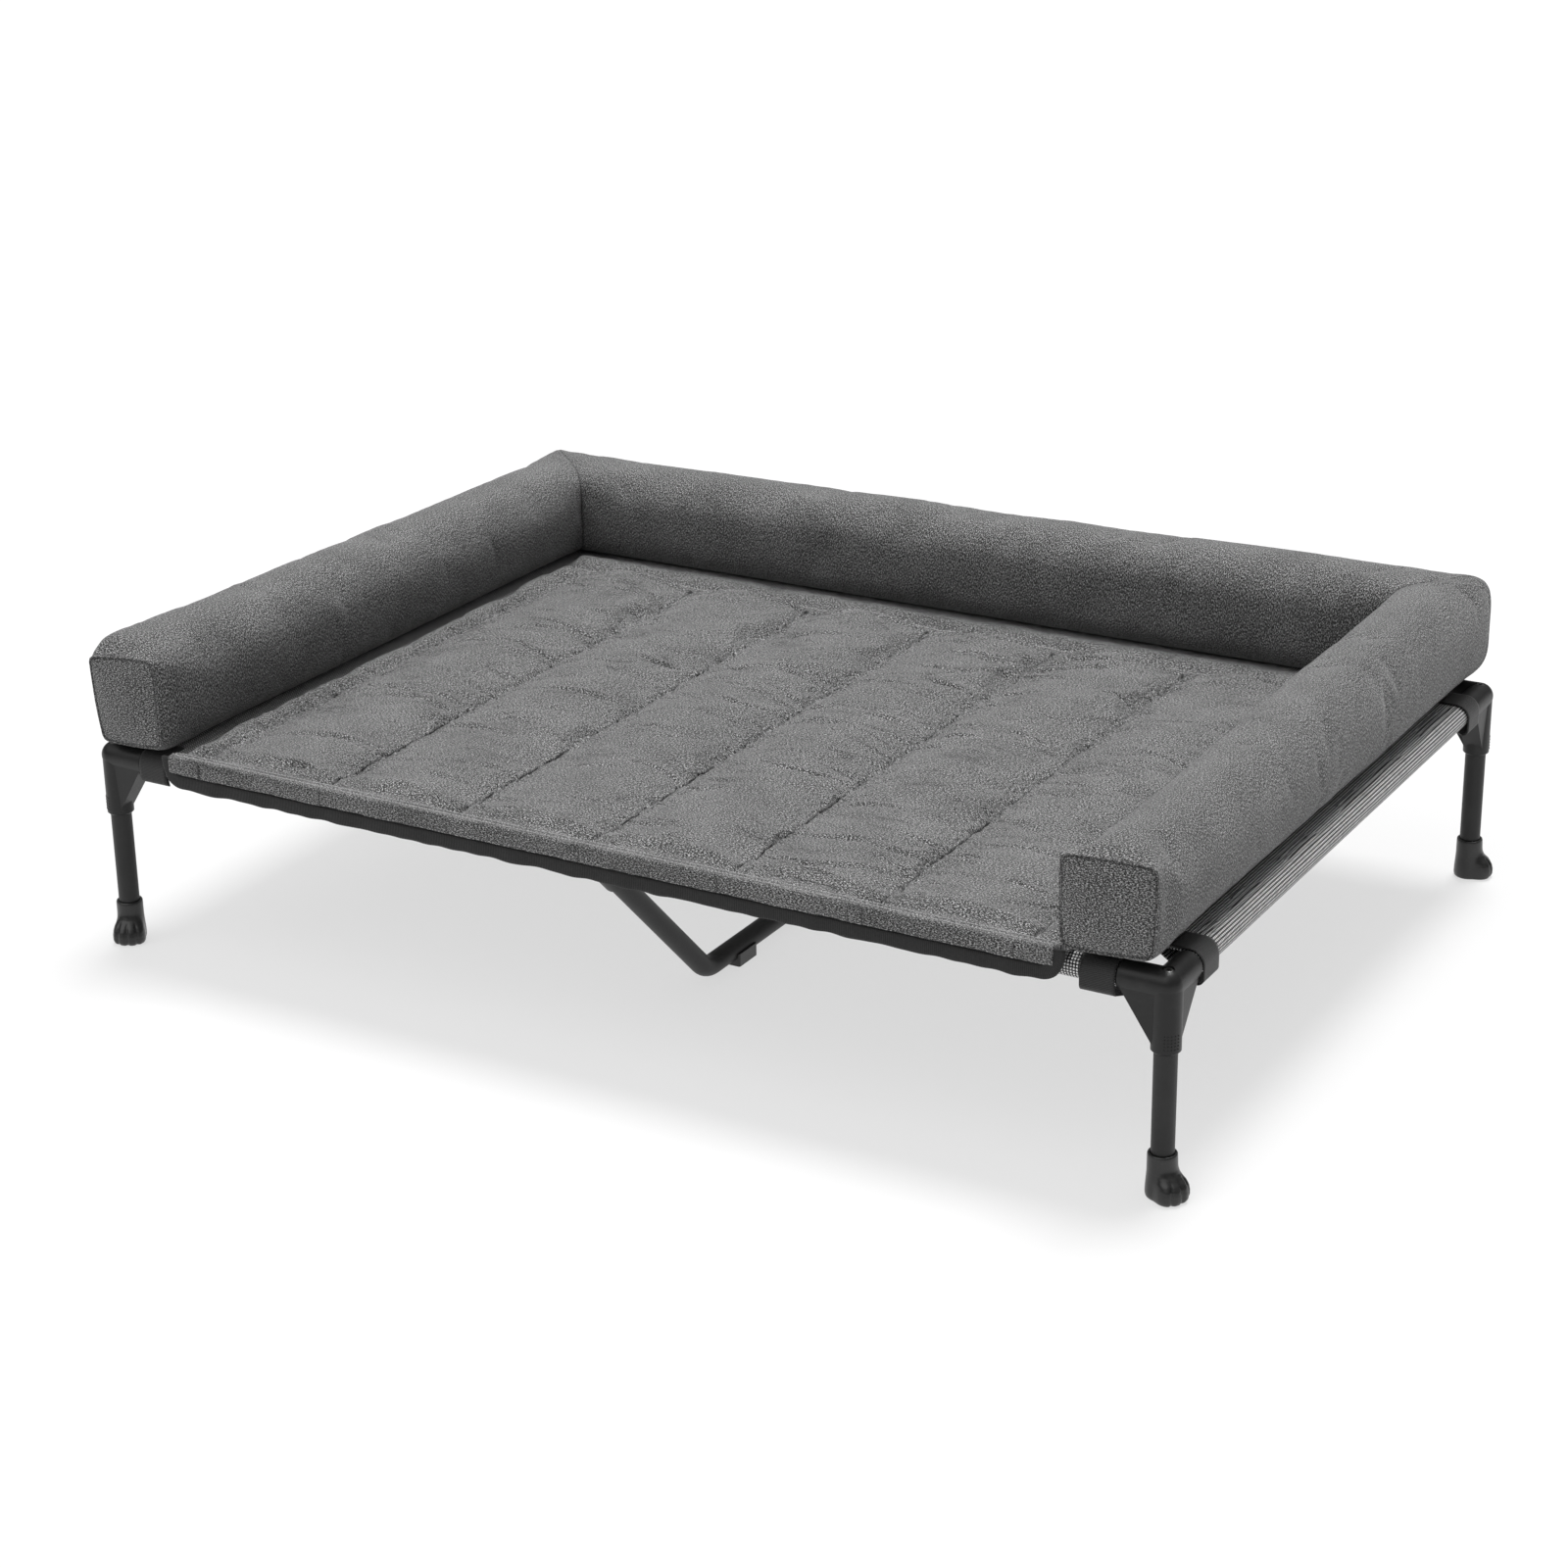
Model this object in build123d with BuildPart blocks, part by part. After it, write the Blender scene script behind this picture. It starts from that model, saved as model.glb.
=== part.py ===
# Raised dog bed: a tube frame with plastic corner connectors, a woven mesh deck, a U-shaped
# middle support, paw-shaped rubber feet, and a quilted topper with three bolsters.
#
# Frame: origin on the floor under the middle of the bed, +X to the right along the length,
# +Y to the back, +Z up. Millimetres.

import os
from math import cos, radians, sin, sqrt, tan

from build123d import *

# ---- frame: driving dimensions --------------------------------------------------------------
leg_span_x = 1200.0  # leg axis to leg axis along the length
leg_span_y = 833.4  # leg axis to leg axis across the depth
rail_height = 211.0  # rail axis above the floor
tube_diameter = 22.0
tube_wall = 1.2
plug_clearance = 0.15  # radial, tube in a plastic socket
end_clearance = 0.3  # tube end to the floor of its socket

# ---- corner connector -----------------------------------------------------------------------
arm_wall = 3.35
arm_core = 17.0  # solid middle of the elbow, leg axis to the floor of a rail bore
arm_plug_depth = 27.0
arm_round = 1.2
socket_wall = 2.85
socket_length = 65.0  # rail axis down to the socket's rim
socket_roof = 6.85  # between the leg bore and the rail bores
socket_chamfer = 1.5
gusset_length = 58.0  # rail axis down to the lower tip of a gusset
gusset_setback = 2.0  # gusset to the end of its arm
gusset_width = 24.0
gusset_tip_width = 20.0
grip_dot_diameter = 1.5
grip_dot_height = 0.5
grip_dot_count = 5  # rows and columns
grip_dot_row_pitch = 3.3
grip_dot_column_angle = 14.6
grip_dot_bottom = 5.5  # socket rim to the lowest row

# ---- leg, its screw and its foot ------------------------------------------------------------
leg_screw_diameter = 6.0
leg_screw_hole_clearance = 0.2
leg_screw_head_diameter = 10.5
leg_screw_head_height = 3.3
leg_screw_recess_depth = 4.6
leg_screw_recess_clearance = 0.4
leg_screw_grip = 13.8  # how far the screw reaches into the threaded insert
insert_length = 24.0
insert_clearance = 0.05
hex_socket_size = 4.0
hex_socket_depth = 2.0
foot_wall = 2.2
foot_collar_top = 45.0
foot_floor = 6.0  # rubber under the tube end
foot_running_clearance = 0.05  # radial, so that the cap turns on the leg
foot_heel_flare = 1.8
foot_heel_height = 12.0
foot_ankle_height = 27.0
foot_base_round = 3.5
foot_azimuth = {"front_left": -63.0, "front_right": -18.0, "back_right": 30.0, "back_left": 162.0}
toe_radius = 6.6
toe_root_radius = 4.2
toe_sink = 0.3  # how far a toe's ball is pressed flat by the floor
toe_offsets = ((3.8, -12.2), (6.8, -4.3), (6.8, 4.3), (3.8, 12.2))  # past the collar, sideways
toe_root_height = 24.0
toe_root_setback = 3.2  # collar's face back to the root of a toe
toe_root_spread = 0.6  # share of the tip's sideways offset

# ---- middle support -------------------------------------------------------------------------
tee_wall = 2.35
tee_half_length = 45.0
tee_core = 3.0  # half the wall between the two half rails
tee_branch_core = 17.0
tee_branch_reach = 50.0
tee_boss_diameter = 13.0
tee_boss_rise = 2.5
support_angle = 45.0
support_bend_radius = 35.0
support_screw_at = 35.0  # rail axis to the screw, along the branch
support_screw_diameter = 5.0
support_screw_hole_clearance = 0.2
support_screw_head_diameter = 9.5
support_screw_head_height = 2.8
support_nut_diameter = 9.2
support_nut_height = 4.0
seat_gap = 0.1  # screw head or nut off its face
pad_thickness = 3.0  # rubber under the bar
pad_length = 36.0
pad_side = 3.0  # rubber beside the bar
pad_setback = 63.7  # corner of the bar to the middle of a pad
pad_round = 2.0

# ---- mesh deck ------------------------------------------------------------------------------
sleeve_clearance = 0.4
sleeve_thickness = 1.2
sleeve_end_gap = 1.5
deck_rise = 0.2  # underside of the sheet over the inner top of a sleeve
deck_thickness = 1.6
deck_corner_setback = 20.0  # end of an arm to the corner cut of the sheet
deck_notch_clearance = 4.0

# ---- corner straps --------------------------------------------------------------------------
strap_width = 28.0
strap_thickness = 1.5
strap_setback = 8.0  # end of an arm to the near edge of the strap
strap_clearance = 0.3
strap_sag = 5.9  # sleeve down to the underside of the strap
strap_tail = 16.0  # how far the sewn end reaches in from the rail axis

# ---- topper ---------------------------------------------------------------------------------
topper_overhang_x = 12.0  # leg axis to the outer face of a side bolster
topper_overhang_y = 29.3  # leg axis to the front hem, and to the back bolster's outer face
bolster_width = 102.0
bolster_height = 106.0
bolster_corner = 26.0
bolster_front_setback = 9.0
bolster_gap = 0.4  # between mitred ends, and bolster to mat and strap
cover_thickness = 1.6
fill_clearance = 0.3
mat_thickness = 11.7
mat_clearance = 0.3  # mat off the deck or the middle connectors
mat_cover_thickness = 1.2
mat_channels = 6
mat_seam_width = 4.0
mat_side_border = 38.6  # flat strip beside the outer channels
mat_back_border = 46.0  # flat strip in front of the back bolster
mat_hem_thickness = 12.0
mat_hem_height = 19.5
mat_front_round = 3.0
binding_thickness = 3.0
binding_depth = 6.0
binding_height = 17.0
binding_gap = 0.2

# ---- sizes that follow ----------------------------------------------------------------------
tube_radius = tube_diameter / 2
bore_radius = tube_radius + plug_clearance
arm_radius = bore_radius + arm_wall
arm_reach = arm_core + arm_plug_depth
socket_radius = bore_radius + socket_wall
socket_bottom = rail_height - socket_length
socket_top = rail_height - bore_radius - socket_roof
leg_top = socket_top - end_clearance
insert_radius = tube_radius - tube_wall - insert_clearance
screw_seat = rail_height + arm_radius - leg_screw_recess_depth
leg_screw_length = screw_seat + seat_gap - leg_top + leg_screw_grip
collar_radius = tube_radius + foot_wall
heel_radius = collar_radius + foot_heel_flare
tee_radius = bore_radius + tee_wall
tee_boss_half_length = tee_radius + tee_boss_rise
support_axis_height = tube_radius + pad_thickness
sleeve_inner = tube_radius + sleeve_clearance
sleeve_outer = sleeve_inner + sleeve_thickness
sleeve_end = arm_reach + sleeve_end_gap
deck_bottom = rail_height + sleeve_inner + deck_rise
deck_top = deck_bottom + deck_thickness
deck_corner_cut = arm_reach + deck_corner_setback
deck_tee_notch = sqrt(tee_radius**2 - (deck_bottom - rail_height) ** 2) + deck_notch_clearance
strap_offset = arm_reach + strap_setback
strap_inner_top = deck_top + strap_clearance - rail_height
strap_outer_top = strap_inner_top + strap_thickness
topper_half_length = leg_span_x / 2 + topper_overhang_x
topper_back = leg_span_y / 2 + topper_overhang_y
topper_front = -topper_back
bolster_base = rail_height + max(strap_outer_top, arm_radius) + bolster_gap
bolster_front = topper_front + bolster_front_setback
mat_half_length = topper_half_length - bolster_width - bolster_gap
mat_back = topper_back - bolster_width - bolster_gap
mat_base = max(deck_top, rail_height + tee_radius) + mat_clearance
mat_top = mat_base + mat_thickness
mat_hem_bottom = mat_top - mat_hem_height
mat_channel_pitch = 2 * (mat_half_length - mat_side_border) / mat_channels
binding_bottom = mat_hem_bottom - binding_height

# A corner connector, strap and leg are drawn at the origin with the arms along +X and +Y,
# and are turned into each corner by quarter turns.
corners = {
    "front_left": (-1, -1, 0),
    "front_right": (1, -1, 90),
    "back_right": (1, 1, 180),
    "back_left": (-1, 1, 270),
}
arm_planes = (
    Plane(origin=(0, 0, rail_height), x_dir=(0, 1, 0), z_dir=(1, 0, 0)),
    Plane(origin=(0, 0, rail_height), x_dir=(-1, 0, 0), z_dir=(0, 1, 0)),
)


def corner_place(corner, turn=None):
    """Location of a corner's leg axis on the floor, turned to face into the bed."""
    sign_x, sign_y, quarter_turn = corners[corner]
    angle = quarter_turn if turn is None else turn
    return Location((sign_x * leg_span_x / 2, sign_y * leg_span_y / 2, 0), (0, 0, angle))


def write(shape, name):
    """Labels one finished piece and writes it to its own file."""
    shape.label = name
    export_step(shape, f"parts/{name}.step")


def tube(plane, length):
    """Hollow frame tube that starts on a plane and runs along its normal."""
    with BuildPart() as piece:
        with BuildSketch(plane):
            Circle(tube_radius)
            Circle(tube_radius - tube_wall, mode=Mode.SUBTRACT)
        extrude(amount=length)
    return piece.part


os.makedirs("parts", exist_ok=True)

# ---- rails ----------------------------------------------------------------------------------
rail_end = arm_core + end_clearance
half_rail_length = leg_span_x / 2 - rail_end - tee_core - end_clearance
side_rail_length = leg_span_y - 2 * rail_end

for row, sign_y in (("front", -1), ("back", 1)):
    for side, sign_x in (("left", -1), ("right", 1)):
        start = Plane(
            origin=(sign_x * (tee_core + end_clearance), sign_y * leg_span_y / 2, rail_height),
            x_dir=(0, 1, 0),
            z_dir=(sign_x, 0, 0),
        )
        write(tube(start, half_rail_length), f"{row}_rail_{side}")

for side, sign_x in (("left", -1), ("right", 1)):
    start = Plane(
        origin=(sign_x * leg_span_x / 2, -side_rail_length / 2, rail_height),
        x_dir=(1, 0, 0),
        z_dir=(0, 1, 0),
    )
    write(tube(start, side_rail_length), f"{side}_rail")

# ---- corner connectors ----------------------------------------------------------------------
with BuildPart() as connector:
    for arm_plane in arm_planes:
        with BuildSketch(arm_plane):
            Circle(arm_radius)
        extrude(amount=arm_reach)
    with Locations((0, 0, rail_height)):
        Sphere(arm_radius)
    with BuildSketch(Plane.XY.offset(socket_bottom)):
        Circle(socket_radius)
    extrude(amount=rail_height - socket_bottom)
    arm_rims = connector.edges().filter_by(GeomType.CIRCLE).filter_by(
        lambda edge: abs(edge.radius - arm_radius) < 0.01
        and max(edge.center().X, edge.center().Y) > arm_reach - 0.01
    )
    fillet(arm_rims, arm_round)
    socket_rim = connector.edges().filter_by(GeomType.CIRCLE).sort_by(Axis.Z)[0]
    chamfer(socket_rim, socket_chamfer)

    gusset_reach = arm_reach - gusset_setback
    gusset_tip_reach = sqrt(socket_radius**2 - (gusset_tip_width / 2) ** 2)
    # Each arm is braced to the socket by a gusset that ends flush with the socket's side.
    for turn in (0, 90):
        with BuildSketch(Plane.XY.offset(rail_height - arm_radius / 2).rotated((0, 0, turn))):
            with Locations((gusset_reach / 2, 0)):
                Rectangle(gusset_reach, gusset_width)
        with BuildSketch(Plane.XY.offset(rail_height - gusset_length).rotated((0, 0, turn))):
            with Locations((gusset_tip_reach / 2, 0)):
                Rectangle(gusset_tip_reach, gusset_tip_width)
        loft()

    # Grip dots low on the socket's outward face.
    for column in range(grip_dot_count):
        azimuth = 225 + (column - (grip_dot_count - 1) / 2) * grip_dot_column_angle
        outward = Vector(cos(radians(azimuth)), sin(radians(azimuth)), 0)
        dot_plane = Plane(
            origin=outward * (socket_radius - grip_dot_height) + Vector(0, 0, socket_bottom),
            x_dir=outward.cross(Vector(0, 0, 1)),
            z_dir=outward,
        )
        rows = [(0, -grip_dot_bottom - row * grip_dot_row_pitch) for row in range(grip_dot_count)]
        if dot_plane.y_dir.Z > 0:
            rows = [(across, -along) for across, along in rows]
        with BuildSketch(dot_plane):
            with Locations(*rows):
                Circle(grip_dot_diameter / 2)
        extrude(amount=2 * grip_dot_height)

    for arm_plane in arm_planes:
        with BuildSketch(arm_plane.offset(arm_core)):
            Circle(bore_radius)
        extrude(amount=arm_reach - arm_core, mode=Mode.SUBTRACT)
    with BuildSketch(Plane.XY.offset(socket_bottom)):
        Circle(bore_radius)
    extrude(amount=socket_top - socket_bottom, mode=Mode.SUBTRACT)
    with BuildSketch(Plane.XY.offset(socket_bottom)):
        Circle(leg_screw_diameter / 2 + leg_screw_hole_clearance)
    extrude(amount=rail_height + arm_radius - socket_bottom, mode=Mode.SUBTRACT)
    with BuildSketch(Plane.XY.offset(screw_seat)):
        Circle(leg_screw_head_diameter / 2 + leg_screw_recess_clearance)
    extrude(amount=arm_radius, mode=Mode.SUBTRACT)

for corner in corners:
    write(connector.part.moved(corner_place(corner)), f"corner_connector_{corner}")

# ---- legs, threaded inserts and leg screws --------------------------------------------------
leg_bottom = foot_floor + seat_gap
for corner in corners:
    leg = tube(Plane.XY.offset(leg_bottom), leg_top - leg_bottom)
    write(leg.moved(corner_place(corner)), f"leg_{corner}")

corner_places = [corner_place(corner) for corner in corners]

with BuildPart() as leg_inserts:
    with BuildSketch(Plane.XY.offset(leg_top - insert_length)):
        with Locations(*corner_places):
            Circle(insert_radius)
            Circle(leg_screw_diameter / 2 + insert_clearance, mode=Mode.SUBTRACT)
    extrude(amount=insert_length)
write(leg_inserts.part, "leg_inserts")

with BuildPart() as leg_screws:
    with BuildSketch(Plane.XY.offset(screw_seat + seat_gap - leg_screw_length)):
        with Locations(*corner_places):
            Circle(leg_screw_diameter / 2)
    extrude(amount=leg_screw_length)
    with BuildSketch(Plane.XY.offset(screw_seat + seat_gap)):
        with Locations(*corner_places):
            Circle(leg_screw_head_diameter / 2)
    extrude(amount=leg_screw_head_height)
    head_rims = leg_screws.edges().filter_by(GeomType.CIRCLE).group_by(Axis.Z)[-1]
    fillet(head_rims, leg_screw_head_height / 2)
    with BuildSketch(Plane.XY.offset(screw_seat + seat_gap + leg_screw_head_height)):
        with Locations(*corner_places):
            RegularPolygon(hex_socket_size / 2, 6, major_radius=False)
    extrude(amount=-hex_socket_depth, mode=Mode.SUBTRACT)
write(leg_screws.part, "leg_screws")


# ---- feet -----------------------------------------------------------------------------------
def toe(front, front_radius, back, back_radius):
    """Rounded taper between two balls: the half outline is turned about the line between them."""
    front, back = Vector(*front), Vector(*back)
    along = back - front
    lean = (front_radius - back_radius) / along.length
    rise = sqrt(1 - lean**2)
    side_plane = Plane(origin=front, x_dir=along, z_dir=along.cross(Vector(0, 0, 1)))
    tip = (-front_radius, 0)
    front_tangent = (front_radius * lean, front_radius * rise)
    front_middle = (-front_radius * sqrt((1 - lean) / 2), front_radius * sqrt((1 + lean) / 2))
    back_tangent = (along.length + back_radius * lean, back_radius * rise)
    back_middle = (
        along.length + back_radius * sqrt((1 + lean) / 2),
        back_radius * sqrt((1 - lean) / 2),
    )
    end = (along.length + back_radius, 0)
    with BuildPart() as piece:
        with BuildSketch(side_plane):
            with BuildLine():
                ThreePointArc(tip, front_middle, front_tangent)
                Line(front_tangent, back_tangent)
                ThreePointArc(back_tangent, back_middle, end)
                Line(end, tip)
            make_face()
        revolve(axis=Axis(front, along))
    return piece.part


# The ball of the paw fills the space between the toes and the heel.
ball_front = (heel_radius - 6, 0, 10)
ball_back = (collar_radius - 10, 0, 20)
ball_radius = heel_radius - 3.5

with BuildPart() as foot:
    with BuildSketch(Plane.XZ):
        with BuildLine():
            Polyline(
                (0, foot_collar_top),
                (0, 0),
                (heel_radius - foot_base_round, 0),
            )
            RadiusArc(
                (heel_radius - foot_base_round, 0),
                (heel_radius, foot_base_round),
                -foot_base_round,
            )
            Polyline(
                (heel_radius, foot_base_round),
                (heel_radius, foot_heel_height),
                (collar_radius, foot_ankle_height),
                (collar_radius, foot_collar_top),
                (0, foot_collar_top),
            )
        make_face()
    revolve(axis=Axis.Z)
    add(toe(ball_front, ball_radius, ball_back, ball_radius - 1))
    for forward, sideways in toe_offsets:
        tip = (collar_radius + forward, sideways, toe_radius - toe_sink)
        root = (collar_radius - toe_root_setback, toe_root_spread * sideways, toe_root_height)
        add(toe(tip, toe_radius, root, toe_root_radius))
    split(bisect_by=Plane.XY, keep=Keep.TOP)
    with BuildSketch(Plane.XY.offset(foot_floor)):
        Circle(tube_radius + foot_running_clearance)
    extrude(amount=foot_collar_top, mode=Mode.SUBTRACT)

for corner in corners:
    write(foot.part.moved(corner_place(corner, foot_azimuth[corner])), f"foot_{corner}")

# ---- middle connectors, support bar, its screws, nuts and pads ------------------------------
branch_direction = Vector(0, cos(radians(support_angle)), -sin(radians(support_angle)))
branch_plane = Plane(origin=(0, 0, rail_height), x_dir=(1, 0, 0), z_dir=branch_direction)
screw_point = Vector(0, 0, rail_height) + branch_direction * support_screw_at
tee_places = {
    "front": Location((0, -leg_span_y / 2, 0)),
    "back": Location((0, leg_span_y / 2, 0), (0, 0, 180)),
}


def cross_plane(across):
    """Plane square to the support screw, at a distance along the screw from the middle."""
    return Plane(origin=screw_point + Vector(across, 0, 0), x_dir=(0, 1, 0), z_dir=(1, 0, 0))


with BuildPart() as tee:
    with BuildSketch(arm_planes[0].offset(-tee_half_length)):
        Circle(tee_radius)
    extrude(amount=2 * tee_half_length)
    with BuildSketch(branch_plane):
        Circle(tee_radius)
    extrude(amount=tee_branch_reach)
    with BuildSketch(cross_plane(-tee_boss_half_length)):
        Circle(tee_boss_diameter / 2)
    extrude(amount=2 * tee_boss_half_length)
    for side in (-1, 1):
        with BuildSketch(arm_planes[0].offset(side * tee_core)):
            Circle(bore_radius)
        extrude(amount=side * (tee_half_length - tee_core), mode=Mode.SUBTRACT)
    with BuildSketch(branch_plane.offset(tee_branch_core)):
        Circle(bore_radius)
    extrude(amount=tee_branch_reach, mode=Mode.SUBTRACT)
    with BuildSketch(cross_plane(-tee_boss_half_length)):
        Circle(support_screw_diameter / 2 + support_screw_hole_clearance)
    extrude(amount=2 * tee_boss_half_length, mode=Mode.SUBTRACT)

for row, place in tee_places.items():
    write(tee.part.moved(place), f"middle_connector_{row}")

bar_start = branch_direction * (tee_branch_core + end_clearance)
bar_drop = rail_height - support_axis_height
bar_foot = leg_span_y / 2 - bar_drop / tan(radians(support_angle))
with BuildPart() as middle_support:
    with BuildLine() as bar_path:
        FilletPolyline(
            (0, -leg_span_y / 2 + bar_start.Y, rail_height + bar_start.Z),
            (0, -bar_foot, support_axis_height),
            (0, bar_foot, support_axis_height),
            (0, leg_span_y / 2 - bar_start.Y, rail_height + bar_start.Z),
            radius=support_bend_radius,
        )
    with BuildSketch(Plane(origin=bar_path.line @ 0, z_dir=bar_path.line % 0)):
        Circle(tube_radius)
        Circle(tube_radius - tube_wall, mode=Mode.SUBTRACT)
    sweep()
    for row in tee_places:
        sign_y = -1 if row == "front" else 1
        hole_y = sign_y * (leg_span_y / 2 - screw_point.Y)
        with BuildSketch(Plane.YZ.offset(-tube_radius)):
            with Locations((hole_y, screw_point.Z)):
                Circle(support_screw_diameter / 2 + support_screw_hole_clearance)
        extrude(amount=tube_diameter, mode=Mode.SUBTRACT)
write(middle_support.part, "middle_support")

screw_reach = tee_boss_half_length + seat_gap
with BuildPart() as support_screw:
    with BuildSketch(cross_plane(-screw_reach)):
        Circle(support_screw_diameter / 2)
    extrude(amount=2 * screw_reach + support_nut_height)
    with BuildSketch(cross_plane(-screw_reach - support_screw_head_height)):
        Circle(support_screw_head_diameter / 2)
    extrude(amount=support_screw_head_height)

with BuildPart() as support_nut:
    with BuildSketch(cross_plane(screw_reach)):
        RegularPolygon(support_nut_diameter / 2, 6)
        Circle(support_screw_diameter / 2 + seat_gap / 2, mode=Mode.SUBTRACT)
    extrude(amount=support_nut_height)

for single, name in ((support_screw, "support_screws"), (support_nut, "support_nuts")):
    with BuildPart() as group:
        for place in tee_places.values():
            add(single.part.moved(place))
    write(group.part, name)

with BuildPart() as support_pads:
    pad_offset = bar_foot - pad_setback
    with BuildSketch(Plane.XY):
        with Locations((0, -pad_offset), (0, pad_offset)):
            RectangleRounded(tube_diameter + 2 * pad_side, pad_length, pad_round)
    extrude(amount=support_axis_height)
    with BuildSketch(Plane.XZ.offset(-bar_foot)):
        with Locations((0, support_axis_height)):
            Circle(tube_radius + insert_clearance)
    extrude(amount=2 * bar_foot, mode=Mode.SUBTRACT)
write(support_pads.part, "support_pads")

# ---- mesh deck ------------------------------------------------------------------------------
half_x = leg_span_x / 2
half_y = leg_span_y / 2
with BuildPart() as mesh_deck:
    with BuildSketch(Plane.XY.offset(deck_bottom)):
        Rectangle(leg_span_x, leg_span_y)
        with Locations(*[(sx * half_x, sy * half_y) for sx in (-1, 1) for sy in (-1, 1)]):
            Rectangle(
                deck_corner_cut * sqrt(2),
                deck_corner_cut * sqrt(2),
                rotation=45,
                mode=Mode.SUBTRACT,
            )
        with Locations((0, -half_y), (0, half_y)):
            Rectangle(2 * (tee_half_length + sleeve_end_gap), 2 * deck_tee_notch, mode=Mode.SUBTRACT)
    extrude(amount=deck_thickness)
    long_sleeve = half_x - sleeve_end - tee_half_length - sleeve_end_gap
    for sign_y in (-1, 1):
        for sign_x in (-1, 1):
            sleeve_start = Plane(
                origin=(sign_x * (tee_half_length + sleeve_end_gap), sign_y * half_y, rail_height),
                x_dir=(0, 1, 0),
                z_dir=(sign_x, 0, 0),
            )
            with BuildSketch(sleeve_start):
                Circle(sleeve_outer)
                Circle(sleeve_inner, mode=Mode.SUBTRACT)
            extrude(amount=long_sleeve)
    for sign_x in (-1, 1):
        sleeve_start = Plane(
            origin=(sign_x * half_x, -half_y + sleeve_end, rail_height),
            x_dir=(1, 0, 0),
            z_dir=(0, 1, 0),
        )
        with BuildSketch(sleeve_start):
            Circle(sleeve_outer)
            Circle(sleeve_inner, mode=Mode.SUBTRACT)
        extrude(amount=leg_span_y - 2 * sleeve_end)
write(mesh_deck.part, "mesh_deck")

# ---- corner straps --------------------------------------------------------------------------
# The strap hooks over one arm's rail, runs under the corner inside the leg, and comes up over
# the other arm's rail.
strap_low = rail_height - sleeve_outer - strap_sag
strap_inner_low = strap_low + strap_thickness


def strap_hook(plane):
    """One end of the strap, drawn across its rail; local x points away from the bed."""
    outer, inner = strap_outer_top, strap_inner_top
    low, inner_low = strap_low - rail_height, strap_inner_low - rail_height
    with BuildPart() as hook:
        with BuildSketch(plane):
            with BuildLine():
                Line((-strap_tail, outer), (0, outer))
                ThreePointArc((0, outer), (outer / sqrt(2), outer / sqrt(2)), (outer, 0))
                Polyline((outer, 0), (outer, low), (-strap_tail / 2, low))
                Polyline((-strap_tail / 2, low), (-strap_tail / 2, inner_low), (inner, inner_low))
                Line((inner, inner_low), (inner, 0))
                ThreePointArc((inner, 0), (inner / sqrt(2), inner / sqrt(2)), (0, inner))
                Polyline((0, inner), (-strap_tail, inner), (-strap_tail, outer))
            make_face()
        extrude(amount=strap_width)
    return hook.part


x_hook_plane = Plane(
    origin=(strap_offset + strap_width, 0, rail_height), x_dir=(0, -1, 0), z_dir=(-1, 0, 0)
)
y_hook_plane = Plane(origin=(0, strap_offset, rail_height), x_dir=(-1, 0, 0), z_dir=(0, 1, 0))
near = strap_offset
far = strap_offset + strap_width
with BuildPart() as corner_strap:
    add(strap_hook(x_hook_plane))
    add(strap_hook(y_hook_plane))
    with BuildSketch(Plane.XY.offset(strap_low)):
        with BuildLine():
            Polyline(
                (near, 0),
                (far, 0),
                (far, 1),
                (1, far),
                (0, far),
                (0, near),
                (1, near - 1),
                (near - 1, 1),
                (near, 0),
            )
        make_face()
    extrude(amount=strap_thickness)

for corner in corners:
    write(corner_strap.part.moved(corner_place(corner)), f"corner_strap_{corner}")

# ---- topper: quilted mat --------------------------------------------------------------------
mat_depth = mat_back - topper_front
mat_middle = (mat_back + topper_front) / 2
channel_front = topper_front + mat_hem_thickness + mat_cover_thickness
channel_depth = mat_back - mat_back_border - channel_front
channel_middle = channel_front + channel_depth / 2
channel_width = mat_channel_pitch - mat_seam_width


def mat_channel_sketch(inset):
    """Outlines of the filled channels, drawn in by an inset."""
    with BuildSketch(Plane.XY.offset(mat_base + mat_cover_thickness + inset)) as outlines:
        with Locations((0, channel_middle)):
            with GridLocations(mat_channel_pitch, 0, mat_channels, 1):
                Rectangle(channel_width - 2 * inset, channel_depth - 2 * inset)
    return outlines.sketch


channel_height = mat_top - mat_base - 2 * mat_cover_thickness
with BuildPart() as mat_cover:
    with BuildSketch(Plane.XY.offset(mat_base)):
        with Locations((0, mat_middle)):
            Rectangle(2 * mat_half_length, mat_depth)
    extrude(amount=mat_top - mat_base)
    with BuildSketch(Plane.XY.offset(mat_hem_bottom)):
        with Locations((0, topper_front + mat_hem_thickness / 2)):
            Rectangle(2 * mat_half_length, mat_hem_thickness)
    extrude(amount=mat_top - mat_hem_bottom)
    front_edge = mat_cover.edges().filter_by(Axis.X).group_by(Axis.Z)[-1].sort_by(Axis.Y)[0]
    fillet(front_edge, mat_front_round)
    extrude(mat_channel_sketch(0), amount=channel_height, mode=Mode.SUBTRACT)
write(mat_cover.part, "mat_cover")

with BuildPart() as mat_fill:
    extrude(mat_channel_sketch(fill_clearance), amount=channel_height - 2 * fill_clearance)
write(mat_fill.part, "mat_fill")

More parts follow.
